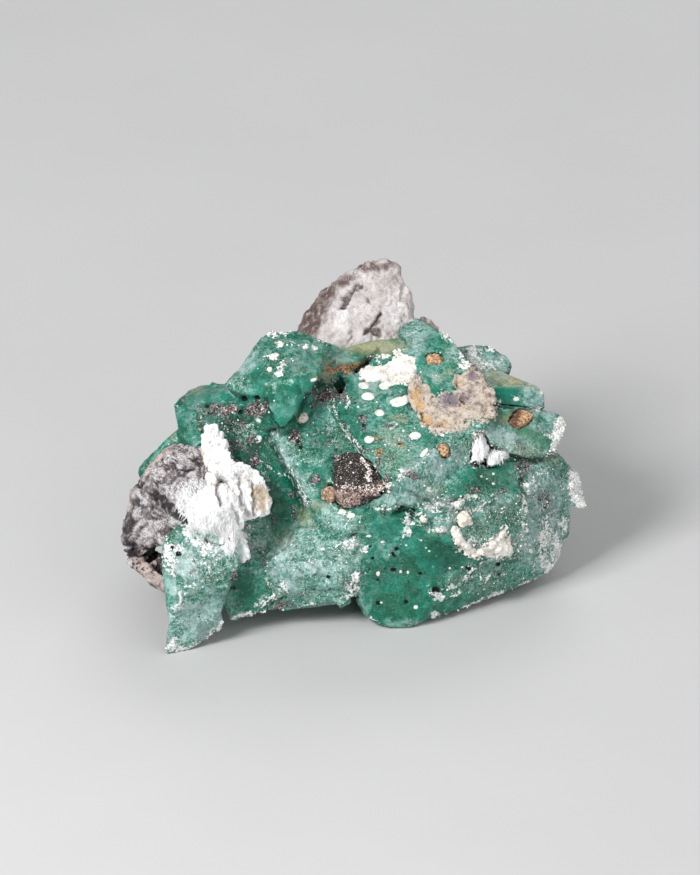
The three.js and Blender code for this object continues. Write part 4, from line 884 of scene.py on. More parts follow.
def granular_crust(node, name, patches, count, sizes, voxel_mm, seed, thin):
    """A thin crust: its solid drawn in a little, and many grains strewn over patches of what is round it."""
    rng = random.Random(seed)
    base = sunk_base(node, name, patches, thin, seed)
    trees = surfaces + trees_of(base)
    places = []
    areas = [row[2] * row[3] for row in patches]
    while len(places) < count:
        cx, cy, rx, ry, _, *turn = rng.choices(patches, areas)[0]
        r, a = math.sqrt(rng.random()) * rng.choice((1, 1, 1.15)), rng.random() * FULL_TURN
        spot = turned(cx, cy, r * rx * math.cos(a), r * ry * math.sin(a), turn[0] if turn else 0)
        where, _ = find(trees, *spot)
        if where is None:
            continue
        places.append((where, sizes[0] + (sizes[1] - sizes[0]) * rng.random() ** 1.6))
    points, faces = grain_shapes(places, seed)
    start = len(points)
    points.extend(v.co.copy() for v in base.data.vertices)
    faces.extend([start + i for i in f.vertices] for f in base.data.polygons)
    bpy.data.objects.remove(base)
    obj = remeshed(mesh_of(name, points, faces), name, voxel_mm)
    co, no = arrays_of(obj)
    lift = 0.04 + 0.08 * fractal(co / MM / 0.4, 2, seed)
    move_vertices(obj, co + no * lift[:, None] * MM)
    return thinned(obj, most=64000)


green = crystals()
left_rock = rock("left_host_rock", "left_rock", 0.17, 0.25, left_rock_relief, most=96000)
top_rock = rock("top_host_rock", "top_rock", 0.2, 0.25, top_rock_relief)
small_rock = rock("small_host_rock", "small_rock", 0.15, 0.2, small_rock_relief)
ore = rock("ore_lump", "ore", 0.12, 0.25, ore_relief, most=32000)
fibres = rock("white_fibre_crust", "fibre_crust", 0.13, 0.25, fibre_relief, most=76000)
pocket = rock("white_fibre_pocket", "fibre_pocket", 0.12, -0.2, fibre_relief)
small_grains = {
    name: rock(name, name + "_fine", 0.08, 0.12, grain_relief)
    for name in (
        "brown_grain_right", "brown_grain_upper", "brown_grain_small", "tan_grain", "cream_grain",
        "cream_pebble", "white_nodule",
    )
}
surfaces = trees_of(green, left_rock, top_rock, small_rock)
tan = granular_crust("tan_crust", "tan_crust_fine", TAN_PATCHES, 3400, (0.18, 0.46), 0.11, 71, 0.75)
powder = granular_crust(
    "white_powder_crust", "powder_crust_fine", POWDER_PATCHES, 1100, (0.18, 0.46), 0.11, 73, 0.7
)
rim = granular_crust("white_rim_crust", "rim_crust_fine", RIM_PATCHES, 900, (0.16, 0.4), 0.1, 79, 0.45)


def dome(bm, rng, x, rise, rx, ry, degrees, where, way):
    """One low dome, ragged round its foot, that lies on the surface."""
    sides, rings = 22, 4
    foot, reach = -0.08, 3 * MM
    ragged = [rng.uniform(0.86, 1.12) for _ in range(sides)]
    rows = []
    for k in range(rings):
        r = 1 - (k / rings) ** 1.5
        height = 0.02 + 0.1 * math.sqrt(k / rings) if k else foot
        ring = []
        for i in range(sides):
            a = i / sides * math.tau
            w = (ragged[i - 1] + 2 * ragged[i] + ragged[(i + 1) % sides]) / 4
            du, dv = turned(0, 0, rx * r * w * math.cos(a), ry * r * w * math.sin(a), degrees)
            spot, _ = find(surfaces, x + du, rise + dv)
            if spot is None or (spot - where).length > reach:
                spot = where + Vector((du, 0, dv)) * MM
            ring.append(bm.verts.new(spot + way * (height + rng.uniform(-0.02, 0.02)) * MM))
        rows.append(ring)
    top = bm.verts.new(where + way * 0.12 * MM)
    base = bm.verts.new(where - way * 0.25 * MM)
    for low, high in zip(rows, rows[1:]):
        for i in range(sides):
            j = (i + 1) % sides
            bm.faces.new([low[i], low[j], high[j], high[i]])
    for i in range(sides):
        j = (i + 1) % sides
        bm.faces.new([rows[-1][i], rows[-1][j], top])
        bm.faces.new([rows[0][j], rows[0][i], base])


def white_spots():
    """The round white spots."""
    rng = random.Random(5)
    bm = bmesh.new()
    for x, rise, *shape in SPOTS:
        where, way = find(surfaces, x, rise)
        if where:
            dome(bm, rng, x, rise, *shape, where, way)
    mesh = bpy.data.meshes.new("white_spots")
    bmesh.ops.recalc_face_normals(bm, faces=bm.faces)
    bm.to_mesh(mesh)
    bm.free()
    for f in mesh.polygons:
        f.use_smooth = True
    return new_object("white_spots", mesh)


spots = white_spots()


def strewn(name, mask, count, sizes, tints, seed):
    """Grains sunk a little into the crystals, thicker where the named mask is strong."""
    sink, off_table = 0.05, 0.6 * MM
    rng = random.Random(seed)
    co, no = arrays_of(green)
    weight = numbers_of(green.data.attributes[mask].data, "value", 1, np.float32)[:, 0]
    clumps = smooth(-0.2, 0.6, fractal(co / MM / 1.2, 2, seed)) + 0.05
    weight = np.where(co[:, 2] > off_table, weight, 0).astype(float) ** 1.5 * clumps
    dice = np.random.default_rng(seed)
    items = []
    for i in dice.choice(len(co), size=count, replace=False, p=weight / weight.sum()):
        size = sizes[0] + (sizes[1] - sizes[0]) * rng.random() ** 3
        items.append((Vector(co[i] + no[i] * size * sink * MM), size, rng.choice(tints)))
    return joined_grains(name, items, seed)


# Tints run from 0, black, through brown and pink to 1, white.
MIXED_TINTS = [0.02, 0.02, 0.06, 0.12, 0.3, 0.45, 0.62, 0.95]
white_specks = strewn("white_specks", "speckled", 3800, (0.08, 0.34), [1, 1, 0.95, 0.8], 91)
mixed_specks = strewn("mixed_specks", "dust", 3200, (0.1, 0.44), MIXED_TINTS, 93)
crust_specks = strewn("crust_specks", "white", 3600, (0.1, 0.42), [1, 1, 0.95, 0.9, 0.7], 95)


def ore_sparkle():
    """Pale grains along the ore's rims, and mixed ones all over it."""
    rng = random.Random(17)
    trees = trees_of(ore)
    items = []
    on_rims, in_all = 420, 900
    while len(items) < on_rims:
        cx, cy, r, *_ = rng.choice(ORE_RIMS)
        where, way = find(trees, cx + rng.gauss(0, 0.75) * r, cy + rng.gauss(0, 0.9) * r)
        if where:
            size = rng.uniform(0.12, 0.34)
            items.append((where + way * 0.04 * MM, size, rng.choice([0.6, 0.8, 0.9, 0.35])))
    while len(items) < in_all:
        cx, cy = rng.uniform(-3, 4.6), rng.uniform(22.6, 30.8)
        where, way = find(trees, cx, cy)
        if where:
            tints = [0.02, 0.1, 0.3, 0.45, 0.6] if cy < 25 else [0.02, 0.02, 0.05, 0.15, 0.95]
            items.append((where + way * 0.03 * MM, 0.08 + 0.24 * rng.random() ** 2, rng.choice(tints)))
    return joined_grains("ore_sparkle", items, 19)


def crevice_grit():
    """The small brown pebble in the crevice under the grey rock, with grit round it."""
    trees = trees_of(left_rock, green)
    rng = random.Random(29)
    items = []
    for x, rise, size, tint in (
        (-30.6, 14.2, 1.5, 0.4), (-30.2, 13.9, 1, 0.5), (-31.6, 15, 0.7, 0.2), (-29.6, 13, 0.6, 0.15),
        (-32.6, 15.6, 0.6, 0.1),
    ):
        where, _ = find(trees, x, rise)
        if where:
            items.append((where + TO_EYE * 0.2 * MM, size, tint))
    for _ in range(120):
        where, _ = find(trees, rng.uniform(-33.6, -28.8), rng.uniform(12.6, 16))
        if where:
            items.append((where, rng.uniform(0.15, 0.45), rng.choice([0.05, 0.15, 0.3, 0.5])))
    return joined_grains("crevice_grit", items, 31)


sparkle = ore_sparkle()
grit = crevice_grit()


FIBRE_POINTS = 12  # three rings of four


def one_fibre(rng, where, way, a, length):
    """The points of one fibre, which leans out and up or down from the surface."""
    outward = Vector((math.cos(a) * 0.25, 0, math.sin(a) * 0.4))
    lean = Vector((rng.gauss(0, 0.4), rng.gauss(0, 0.3), rng.choice((-1, -1, 1)) + rng.gauss(0, 0.3)))
    along = (way * rng.uniform(0, 0.4) + lean + outward * rng.random()).normalized()
    side = along.orthogonal().normalized()
    other = along.cross(side)
    long = (length[0] + (length[1] - length[0]) * rng.random() ** 2) * MM
    wide = rng.uniform(0.035, 0.08) * MM
    bend = way * rng.uniform(-0.15, 0.15) * long
    points = []
    for t, w in ((-0.2, 1), (0.5, 0.85), (1, 0.25)):
        for k in range(4):
            q = side * math.cos(k * math.pi / 2) + other * math.sin(k * math.pi / 2)
            points.append(where + way * 0.05 * MM + along * t * long + bend * t * t + q * wide * w)
    return points


def tufts(name, objs, rows, count, length, seed):
    """Fine tapering fibres that stand out from a crust, mostly downwards, as one mesh."""
    rng = random.Random(seed)
    trees = trees_of(*objs)
    points, faces = [], []
    while len(points) < count * FIBRE_POINTS:
        cx, cy, rx, ry, _ = rng.choice(rows)
        r, a = rng.random() ** 0.3, rng.random() * FULL_TURN
        where, way = find(trees, cx + r * rx * math.cos(a), cy + r * ry * math.sin(a))
        if where is None:
            continue
        start = len(points)
        points.extend(one_fibre(rng, where, way, a, length))
        for ring in (start, start + 4):
            for k in range(4):
                j = (k + 1) % 4
                faces.append([ring + k, ring + j, ring + 4 + j, ring + 4 + k])
        faces.append([start + 3, start + 2, start + 1, start])
        faces.append([start + 8, start + 9, start + 10, start + 11])
    obj = new_object(name, mesh_of(name, points, faces))
    co, _ = arrays_of(obj)
    fibre_relief(obj, co / MM, *across_and_rise(co))
    tones = np.random.default_rng(seed).uniform(0.7, 1, count)
    store(obj, "layer", np.repeat(tones, FIBRE_POINTS))
    return obj


left_tufts = tufts("left_tufts", [fibres, green, left_rock], LEFT_TUFTS, 3800, (0.3, 1.5), 101)
pocket_tufts = tufts("pocket_tufts", [pocket, green], POCKET_TUFTS, 420, (0.3, 1.2), 103)


def paint_tan_crust():
    co, _ = arrays_of(tan)
    wobble = wander(co / MM, 0.9, (3, 4), 0.5)
    paint(tan, *across_and_rise(co), wobble, 0.7, purple=TAN_PURPLE, orange=TAN_ORANGE, black=TAN_BLACK)


paint_tan_crust()


# Materials


class Value:
    """What one node gives out, which plain arithmetic turns into Math nodes."""

    def __init__(self, maker, socket):
        self.maker = maker
        self.socket = socket

    def __add__(self, other):
        return self.maker.math("ADD", self, other)

    def __radd__(self, other):
        return self.maker.math("ADD", other, self)

    def __mul__(self, other):
        return self.maker.math("MULTIPLY", self, other)

    def __sub__(self, other):
        return self.maker.math("SUBTRACT", self, other)

    def __rsub__(self, other):
        return self.maker.math("SUBTRACT", other, self)


class Nodes:
    """A small helper that builds one material's node tree."""

    def __init__(self, name):
        self.material = bpy.data.materials.new(name)
        self.material.use_nodes = True
        self.tree = self.material.node_tree
        self.shader = self.tree.nodes["Principled BSDF"]
        metres = self.made("TexCoord", "Object", {})
        self.mm = self.made("VectorMath", 0, {0: metres, "Scale": 1 / MM}, operation="SCALE")

    def put(self, socket, value):
        """Fills a socket with a number, a colour or another node's value."""
        if isinstance(value, Value):
            self.tree.links.new(value.socket, socket)
        elif isinstance(value, tuple) and len(socket.default_value) > len(value):
            socket.default_value = (*value, 1)
        else:
            socket.default_value = value

    def made(self, kind, output, sockets, **settings):
        """One output of a new node."""
        node = self.tree.nodes.new("ShaderNode" + kind)
        for key, value in settings.items():
            setattr(node, key, value)
        for key, value in sockets.items():
            self.put(node.inputs[key], value)
        return Value(self, node.outputs[output])

    def set(self, **values):
        """Fills the shader's own sockets."""
        for key, value in values.items():
            self.put(self.shader.inputs[key.replace("_", " ")], value)

    def noise(self, per_mm, detail=3, rough=0.55, stretch=None, warp=0, turn=0):
        """Noise of about per_mm features in a millimetre, drawn out along the parts of stretch below 1."""
        vector = self.mm
        if stretch:
            sockets = {
                "Vector": vector,
                "Rotation": (0, math.radians(turn), 0),
                "Scale": tuple(1 / part for part in stretch),
            }
            vector = self.made("Mapping", 0, sockets, vector_type="TEXTURE")
        sockets = {"Vector": vector, "Scale": per_mm, "Detail": detail, "Roughness": rough}
        return self.made("TexNoise", "Fac", {**sockets, "Distortion": warp})

    def cells(self, per_mm, vector=None):
        """A steady random colour in each of many angular cells."""
        return self.made("TexVoronoi", "Color", {"Vector": vector or self.mm, "Scale": per_mm})

    def patches(self, per_mm, warp_mm):
        """Cells whose borders sway."""
        sway = self.made("TexNoise", "Color", {"Vector": self.mm, "Scale": per_mm * 1.5})
        sockets = {0: sway, 1: (warp_mm, warp_mm, warp_mm), 2: self.mm}
        return self.cells(per_mm, self.made("VectorMath", 0, sockets, operation="MULTIPLY_ADD"))

    def leaning(self, tones, amount):
        """The surface's normal, leant another way in each patch of tones."""
        normal = self.made("NewGeometry", "Normal", {})
        centred = self.made("VectorMath", 0, {0: tones, 1: (0.5, 0.5, 0.5)}, operation="SUBTRACT")
        amounts = (amount, amount, amount)
        leant = self.made("VectorMath", 0, {0: centred, 1: amounts, 2: normal}, operation="MULTIPLY_ADD")
        return self.made("VectorMath", 0, {0: leant}, operation="NORMALIZE")

    def attribute(self, name):
        return self.made("Attribute", "Fac", {}, attribute_name=name)

    def math(self, operation, *values, clamp=False):
        return self.made("Math", 0, dict(enumerate(values)), operation=operation, use_clamp=clamp)

    def most(self, first, *others):
        for other in others:
            first = self.math("MAXIMUM", first, other)
        return first

    def rest(self, share):
        """What a share leaves of 1."""
        return self.math("SUBTRACT", 1, share, clamp=True)

    def thin_lines(self, pattern, width, faded):
        """1 on thin lines where a pattern crosses its middle, 0 elsewhere."""
        return self.ramp(self.math("ABSOLUTE", pattern - 0.5), width, width * faded)

    def ramp(self, value, low, high, to_low=0, to_high=1):
        """A smooth step from to_low to to_high as value goes from low to high."""
        ends = {"From Min": low, "From Max": high, "To Min": to_low, "To Max": to_high}
        return self.made("MapRange", "Result", {"Value": value, **ends}, interpolation_type="SMOOTHSTEP")

    def broken(self, mask, pattern, reach, soft):
        """A mask broken up by a pattern: 1 inside, 0 outside, ragged where the mask is middling."""
        return self.ramp(mask + (pattern - 0.5) * reach, 0.5 - soft, 0.5 + soft)

    def mix(self, factor, a, b):
        return self.made("Mix", "Result", {"Factor": factor, "A": a, "B": b}, data_type="RGBA")

    def bump(self, height, distance_mm, strength, **normal):
        sockets = {"Height": height, "Distance": distance_mm * MM, "Strength": strength, **normal}
        self.set(Normal=self.made("Bump", 0, sockets))


def srgb(r, g, b):
    """Linear colour from an sRGB one with parts from 0 to 255."""
    return tuple((c / 255 / 12.92) if c <= 10 else ((c / 255 + 0.055) / 1.055) ** 2.4 for c in (r, g, b))


def green_patterns(m):
    """The painted marks and the noises that the crystals' colour and gloss are made of."""
    names = ("frost", "white", "dust", "deep", "olive", "brown", "speckled", "specks", "cracks", "rim")
    names += ("crease", "hollow", "dim", "pinkish")
    g = SimpleNamespace(**{name: m.attribute(name) for name in names})
    g.broad = m.noise(0.25, 3)
    g.middle = m.noise(0.8, 4, 0.55)
    g.fine = m.noise(2.3, 5, 0.62)
    g.sparkle = m.noise(6.5, 3, 0.6)
    g.faces = m.mix(0.45, m.patches(0.3, 2.2), m.patches(0.85, 1.0))
    return g


def clear_green(m, g):
    """The clear crystals' own colour, with yellowish zones and painted light and shade on facet cells."""
    color = m.mix(m.ramp(g.broad, 0.38, 0.64), srgb(2, 116, 88), srgb(20, 140, 116))
    for tone, low, high, share, tint in (
        (g.middle, 0.5, 0.72, 0.5, srgb(76, 176, 156)),
        (g.middle, 0.46, 0.3, 0.55, srgb(0, 92, 70)),
        # Lighter and darker facet cells stand for facets lit differently: painted light and shade.
        (g.faces, 0.52, 0.7, 0.4, srgb(64, 170, 148)),
        (g.faces, 0.46, 0.3, 0.45, srgb(0, 88, 66)),
    ):
        color = m.mix(m.ramp(tone, low, high, 0, share), color, tint)
    clearest = m.mix(m.ramp(g.broad, 0.4, 0.62), srgb(0, 120, 88), srgb(0, 156, 126))
    color = m.mix(g.deep * 0.9, color, clearest)
    return m.mix(g.olive * m.ramp(g.fine, 0.35, 0.6, 0.6, 1), color, srgb(192, 186, 140))


def haze_and_lines(m, g, color):
    """Frosted zones, thin light lines and pale edges over the green; painted shade in hollows, creases and
    shaded patches; and dark cracks, some of them painted shadow seams.
    """
    scratch = m.noise(1.1, 3, 0.5, stretch=(2.2, 2.2, 0.5), warp=0.5)
    slant = m.noise(1.0, 3, 0.5, stretch=(0.5, 1.6, 2), warp=0.8)
    pattern = g.middle * 0.2 + g.faces * 0.35 + (scratch * 0.22 + slant * 0.23)
    g.hazy = m.broken(g.frost * 0.88, pattern, 3, 0.5) * m.rest(g.deep * 0.95)
    milky = m.mix(m.ramp(g.fine * 0.2 + pattern * 0.8, 0.42, 0.6), srgb(90, 142, 136), srgb(168, 190, 190))
    color = m.mix(g.hazy * 0.85, color, milky)
    veins = [
        m.thin_lines(m.noise(per_mm, 3, 0.55, stretch=stretch, warp=warp), width, 0.2)
        for per_mm, width, warp, stretch in (
            (0.6, 0.022, 1.6, None), (1.1, 0.024, 0.9, (1.6, 1.6, 0.6)), (1.0, 0.022, 0.9, (0.6, 1.4, 1.8)),
        )
    ]
    g.thread = m.most(*veins) * m.ramp(g.fine, 0.4, 0.5)
    g.thread = g.thread * m.ramp(m.most(g.frost, g.speckled * 0.8), 0, 0.6, 0.06, 0.7)
    color = m.mix(g.thread, color, srgb(208, 222, 216))
    g.edge = g.rim * m.ramp(g.fine, 0.4, 0.56, 0.2, 0.95)
    color = m.mix(g.edge, color, srgb(186, 210, 202))
    # Painted shade: broad hollows are darkened.
    color = m.mix(g.hollow * 0.75, color, srgb(0, 70, 52))
    # Painted shade on the shaded patches.
    color = m.mix(g.dim * m.ramp(g.fine, 0.6, 0.4, 0.5, 1), color, srgb(0, 62, 46))
    # Painted shade in creases, and dark cracks with painted shadow seams under overhangs.
    return m.mix(m.most(g.crease, g.cracks) * 0.85, color, srgb(2, 50, 38))


def crusts_and_specks(m, g, color):
    """What lies on the crystals: flecks, dust, brown stain, white crust and dark specks."""
    small_flecks = m.broken(g.speckled * 0.26, g.sparkle, 2, 0.06)
    fleck = m.most(small_flecks, m.broken(g.speckled * 0.22, g.fine, 2.3, 0.06))
    color = m.mix(fleck * 0.7, color, srgb(216, 220, 212))
    color = m.mix(g.pinkish * m.ramp(g.fine, 0.42, 0.58, 0, 0.8), color, srgb(168, 146, 160))

    pattern = g.fine * 0.6 + g.middle * 0.4
    dusty = m.broken(g.dust * 0.8, pattern, 3.6, 0.1)
    tone = m.noise(3.6, 3, 0.65)
    dust_color = m.mix(m.ramp(tone, 0.46, 0.54), srgb(56, 48, 52), srgb(146, 128, 132))
    color = m.mix(dusty, color, m.mix(m.ramp(tone, 0.56, 0.64), dust_color, srgb(200, 192, 190)))

    stain = m.broken(g.brown * 0.9, pattern, 2.2, 0.12)
    stain_color = m.mix(m.ramp(m.noise(3, 4, 0.65), 0.42, 0.58), srgb(104, 70, 50), srgb(186, 152, 112))
    color = m.mix(stain, color, stain_color)

    crusty = m.broken(g.white * 0.8, g.fine * 0.5 + m.noise(1.3, 5, 0.6) * 0.5, 3.8, 0.12)
    crust_color = m.mix(m.ramp(m.noise(3.4, 4, 0.65), 0.38, 0.54), srgb(176, 182, 178), srgb(252, 250, 248))
    color = m.mix(crusty * 0.94, color, crust_color)
    dark = m.broken(g.specks * 0.95, g.sparkle, 1.4, 0.1)
    g.cover = m.most(dusty, crusty, stain, dark, fleck)
    return m.mix(dark, color, srgb(18, 20, 20))


def green_material():
    m = Nodes("melanterite")
    g = green_patterns(m)
    color = crusts_and_specks(m, g, haze_and_lines(m, g, clear_green(m, g)))
    clear = 0.3 + g.deep * 0.12 - g.hazy * 0.22
    clear = clear * (1 - m.most(g.edge, g.thread) * 0.8)
    through = m.math("MULTIPLY", clear, m.rest(g.cover), clamp=True)
    rough = m.ramp(g.middle, 0.35, 0.65, 0.14, 0.3) + g.hazy * 0.3
    rough = m.math("MAXIMUM", rough, g.cover * 0.85, clamp=True)
    m.set(Base_Color=color, IOR=1.48, Specular_IOR_Level=0.3, Transmission_Weight=through, Roughness=rough)
    grains = m.most(g.cover, g.hazy * 0.7) * (g.fine + g.sparkle * 0.5)
    height = m.noise(1.5, 5) * 0.6 + g.sparkle * 0.14 + g.faces * 0.25 + grains * 1.1
    m.bump(height, 0.16, 0.8, Normal=m.leaning(g.faces, 0.9))
    absorbed = m.made("VolumeAbsorption", 0, {"Color": (0.1, 0.95, 0.88), "Density": 180})
    m.put(m.tree.nodes["Material Output"].inputs["Volume"], absorbed)
    return m.material


def host_rock_material(name, light, middle, dark, warm, very_pale, deepest, contrast, grain, crack):
    """Fibrous rock: contrast is the reach of its tones, grain the turn of its fibres in degrees, and crack
    the strength of its dark lines."""
    m = Nodes(name)
    tone = m.noise(0.7, 6, 0.7)
    fine = m.noise(3.2, 6, 0.72, stretch=(0.45, 1.2, 1.5), warp=0.5, turn=grain)
    dots = m.noise(7, 3, 0.6)
    layer = m.attribute("layer")
    cracks = m.thin_lines(m.noise(1.1, 4, 0.6, stretch=(0.5, 1.2, 1.6), warp=1.2, turn=grain), 0.03, 0.2)
    cracks = cracks * m.ramp(tone, 0.42, 0.55)
    tones = tone * 0.35 + (fine * 0.4 + layer * 0.25)
    color = m.mix(m.ramp(tones, 0.5 - contrast, 0.5), dark, middle)
    color = m.mix(m.ramp(tones, 0.49, 0.49 + contrast), color, light)
    rosy = m.mix(m.ramp(tones, 0.46, 0.7), warm, middle)
    # The pink attribute: pink tints, and on the grey rock a painted rim light along its outline.
    color = m.mix(m.broken(m.attribute("pink"), tone, 1.2, 0.35), color, rosy)
    # Pale streaks, with painted highlight on the grey rock's upper part.
    color = m.mix(m.broken(m.attribute("pale") * 0.8, fine, 2, 0.35), color, very_pale)
    # Darker where the dark attribute is: painted shade in the crevice and pits, darker bands and mottling
    # elsewhere.
    dark_tone_and_shade = m.mix(m.ramp(fine, 0.4, 0.7), deepest, dark)
    color = m.mix(m.broken(m.attribute("dark") * 0.85, fine * 0.5 + tone * 0.5, 2, 0.3), color, dark_tone_and_shade)
    color = m.mix(cracks * crack, color, deepest)
    color = m.mix(m.ramp(dots, 0.62, 0.7, 0, 0.6), color, very_pale)
    m.set(Base_Color=color, Roughness=m.ramp(fine, 0.3, 0.7, 0.7, 0.98), Specular_IOR_Level=0.35)
    m.bump(layer * 0.6 + (fine + dots * 0.4), 0.3 * crack + 0.08, 0.9)
    return m.material


def crust_material(name, light, dark, shade=None, accents=(), glow=0.15):
    """Powdery crust, or fibrous where a shade is given. The accents are pairs of attribute and colour."""
    m = Nodes(name)
    tone = m.noise(0.9, 4, 0.6)
    fine = m.noise(3.4, 5, 0.7, stretch=(1.5, 1.5, 0.45), warp=0.5) if shade else m.noise(4.6, 5, 0.72)
    dots = m.noise(9, 2, 0.6)
    mixed = tone * 0.5 + fine * 0.5
    if shade:
        color = m.mix(m.ramp(mixed * 0.5 + m.attribute("layer") * 0.5, 0.38, 0.54), dark, light)
        color = m.mix(m.attribute("teal") * m.ramp(mixed, 0.36, 0.58, 1, 0.35), color, srgb(122, 174, 162))
        color = m.mix(m.broken(m.attribute("shade") * 0.8, fine, 2, 0.25), color, shade)
        # Painted shade in the grooves.
        color = m.mix(m.attribute("grooves") * 0.75, color, srgb(128, 118, 114))
        m.set(Sheen_Weight=0.6, Sheen_Roughness=0.6)
    else:
        color = m.mix(m.ramp(mixed, 0.38, 0.54), dark, light)
    for attribute, tint in accents:
        spread = m.broken(m.attribute(attribute) * 0.66, fine * 0.6 + dots * 0.4, 2.8, 0.12)
        color = m.mix(spread, color, tint)
    m.set(Base_Color=color, Roughness=m.ramp(fine, 0.3, 0.7, 0.82, 1), Specular_IOR_Level=0.2)
    m.set(Subsurface_Weight=glow, Subsurface_Radius=(0.6, 0.6, 0.6), Subsurface_Scale=0.0006)
    m.bump(fine + dots * 0.5, 0.16 if shade else 0.12, 0.8)
    return m.material


def ore_material():
    m = Nodes("dark_ore")
    fine = m.noise(3.4, 5, 0.7)
    facets = m.cells(2.2)
    color = m.mix(m.ramp(fine, 0.45, 0.7), srgb(24, 18, 20), srgb(70, 56, 56))
    rosy = m.mix(m.ramp(fine, 0.44, 0.58), srgb(78, 58, 56), srgb(186, 162, 152))
    color = m.mix(m.broken(m.attribute("pink") * 0.85, fine, 2.2, 0.14), color, rosy)
    color = m.mix(m.ramp(m.noise(7, 2), 0.62, 0.68), color, srgb(206, 190, 170))
    m.set(Base_Color=color, Roughness=m.ramp(facets, 0.2, 0.8, 0.2, 0.7))
    m.bump(facets + fine, 0.14, 0.7)
    return m.material


def speck_material():
    """Grains whose tint runs from black through brown and pink to white."""
    m = Nodes("specks")
    tint = m.attribute("tint")
    fine = m.noise(6, 3)
    color = m.mix(m.ramp(tint, 0.05, 0.3), srgb(30, 26, 28), srgb(104, 82, 78))
    color = m.mix(m.ramp(tint, 0.3, 0.6), color, srgb(186, 166, 158))
    color = m.mix(m.ramp(tint, 0.6, 0.95), color, srgb(246, 243, 236))
    color = m.mix(m.ramp(fine, 0.5, 0.8, 0, 0.25), color, srgb(150, 140, 132))
    m.set(Base_Color=color, Roughness=m.ramp(fine, 0.3, 0.7, 0.5, 0.7))
    m.bump(fine, 0.05, 0.5)
    return m.material


def grain_material(name, light, dark, other=None):
    """A dull grain, whose split-off part may have another colour."""
    m = Nodes(name)
    fine = m.noise(2.6, 5, 0.7)
    color = m.mix(m.ramp(fine, 0.42, 0.6), dark, light)
    if other:
        color = m.mix(m.attribute("split") * m.ramp(fine, 0.6, 0.45, 0.6, 1), color, other)
    m.set(Base_Color=color, Roughness=m.ramp(m.noise(6, 2), 0.3, 0.7, 0.6, 0.95))
    m.bump(m.noise(6, 4, 0.65), 0.14, 0.8)
    return m.material


WHITE_LOOK = crust_material(
    "white_crust", srgb(255, 255, 255), srgb(244, 243, 245), shade=srgb(204, 186, 160), glow=0.12
)
PLAIN_WHITE = crust_material("white_powder", srgb(242, 238, 231), srgb(192, 185, 176))
TAN_LOOK = crust_material(
    "tan_crust", srgb(202, 190, 176), srgb(122, 106, 96),
    accents=[("purple", srgb(126, 114, 124)), ("orange", srgb(204, 164, 112)), ("black", srgb(60, 48, 46))],
)
PALE_ROCK = host_rock_material(
    "pale_host_rock", light=srgb(220, 214, 213), middle=srgb(198, 190, 188), dark=srgb(160, 149, 145),
    warm=srgb(92, 72, 66), very_pale=srgb(232, 228, 229), deepest=srgb(70, 62, 62),
    contrast=0.16, grain=60, crack=0.3,
)
GREY_ROCK = host_rock_material(
    "grey_host_rock", light=srgb(210, 203, 202), middle=srgb(142, 133, 133), dark=srgb(80, 72, 75),
    warm=srgb(208, 190, 180), very_pale=srgb(240, 238, 240), deepest=srgb(24, 21, 27),
    contrast=0.075, grain=28, crack=0.9,
)
SPECK_LOOK = speck_material()

placed = [
    (green, green_material(), "melanterite", ["melanterite_crystals"]),
    (left_rock, GREY_ROCK, "grey_host_rock", ["left_host_rock"]),
    (top_rock, PALE_ROCK, "pale_host_rock", ["top_host_rock"]),
    (small_rock, PALE_ROCK, "pale_host_rock", ["small_host_rock"]),
    (ore, ore_material(), "dark_ore", ["ore_lump"]),
    (fibres, WHITE_LOOK, "white_crust", ["white_fibre_crust"]),
    (pocket, WHITE_LOOK, "white_crust", ["white_fibre_pocket"]),
    (tan, TAN_LOOK, "tan_crust", ["tan_crust"]),
    (powder, PLAIN_WHITE, "white_crust", ["white_powder_crust"]),
    (rim, PLAIN_WHITE, "white_crust", ["white_rim_crust"]),
    (spots, PLAIN_WHITE, "white_crust", []),
    (left_tufts, WHITE_LOOK, "white_crust", []),
    (pocket_tufts, WHITE_LOOK, "white_crust", []),
    (white_specks, SPECK_LOOK, "white_crust", []),
    (crust_specks, SPECK_LOOK, "white_crust", []),
    (mixed_specks, SPECK_LOOK, "dark_ore", []),
    (sparkle, SPECK_LOOK, "dark_ore", []),
    (grit, SPECK_LOOK, "dark_ore", []),
]
BROWN_LOOK = grain_material("brown_grain", srgb(212, 178, 140), srgb(136, 92, 60), srgb(82, 50, 32))
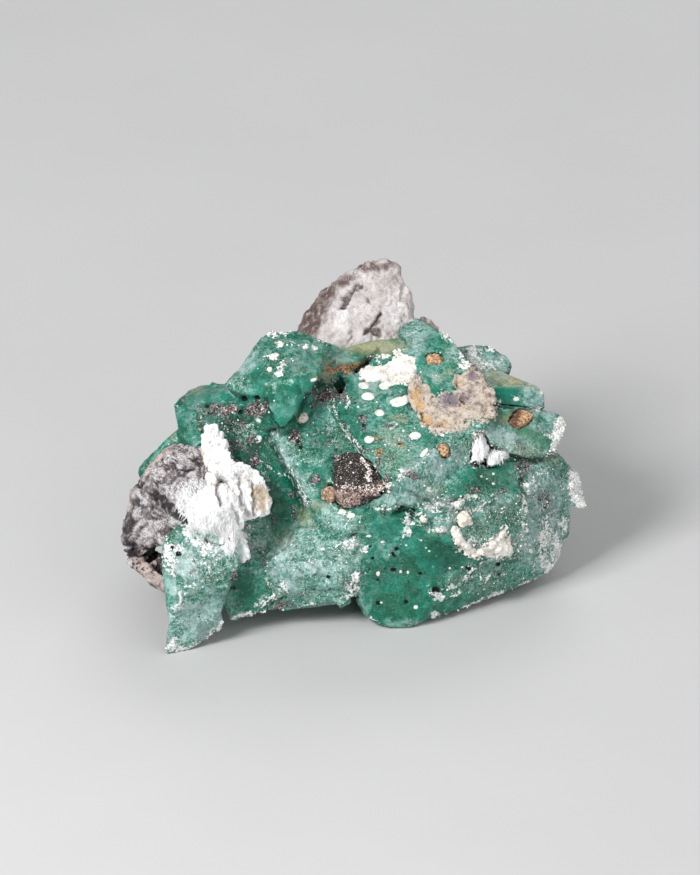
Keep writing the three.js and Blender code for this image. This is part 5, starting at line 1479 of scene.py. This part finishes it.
GRAIN_LOOKS = {
    "brown": (BROWN_LOOK, "brown_grain"),
    "tan": (grain_material("tan_grain", srgb(206, 176, 150), srgb(120, 90, 72)), "tan_crust"),
    "cream": (grain_material("cream_grain", srgb(248, 242, 230), srgb(212, 200, 184)), "cream_grain"),
    "white": (PLAIN_WHITE, "white_crust"),
}
for name, obj in small_grains.items():
    placed.append((obj, *GRAIN_LOOKS[name.split("_")[0]], [name]))
for obj, look, slot, stood_for in placed:
    obj.data.materials.clear()
    obj.data.materials.append(look)
    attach(obj, "root")
    if stood_for:
        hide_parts(*stood_for)


# Floor, light and camera


def floor():
    bpy.ops.mesh.primitive_plane_add(size=4, location=(0, 0, 0))
    obj = bpy.context.object
    obj.name = "floor"
    m = Nodes("floor")
    m.set(Base_Color=m.mix(m.noise(0.02, 3), (0.5, 0.5, 0.495), (0.55, 0.55, 0.545)), Roughness=0.85)
    obj.data.materials.append(m.material)


def aimed(obj, place, way):
    """Puts a light or the camera at a place, looking along a way."""
    obj.location = place
    obj.rotation_euler = way.to_track_quat("-Z", "Y").to_euler()


def area_light(name, place, aim, size, power):
    data = bpy.data.lights.new(name, "AREA")
    data.shape = "RECTANGLE"
    data.size, data.size_y = size
    data.energy = power
    aimed(new_object(name, data), place, Vector(aim) - Vector(place))


def studio():
    area_light("key", (-0.36, -0.4, 0.44), (0, 0, 0.015), (0.24, 0.24), 5.4)
    area_light("fill", (0.5, -0.5, 0.3), (0, 0, 0.015), (1.0, 0.8), 2.9)
    area_light("back", (0.1, 0.5, 0.45), (0, 0, 0.02), (0.4, 0.3), 1.5)
    world = bpy.data.worlds.new("studio")
    scene.world = world
    world.use_nodes = True
    background = world.node_tree.nodes["Background"].inputs
    background["Color"].default_value = (0.8, 0.82, 0.85, 1)
    background["Strength"].default_value = 0.32
    scene.view_settings.view_transform = "Standard"


def camera():
    """The photo's view: view_height metres of it show at the distance of the specimen."""
    distance, sensor, view_height = 1.2, 36, 0.13125
    obj = new_object("camera", bpy.data.cameras.new("camera"))
    scene.camera = obj
    obj.data.sensor_width = sensor
    obj.data.lens = sensor * distance / view_height
    obj.data.clip_end = 10
    aimed(obj, seen(-0.825, 32.775, 15) + TO_EYE * distance, -TO_EYE)


floor()
studio()
camera()
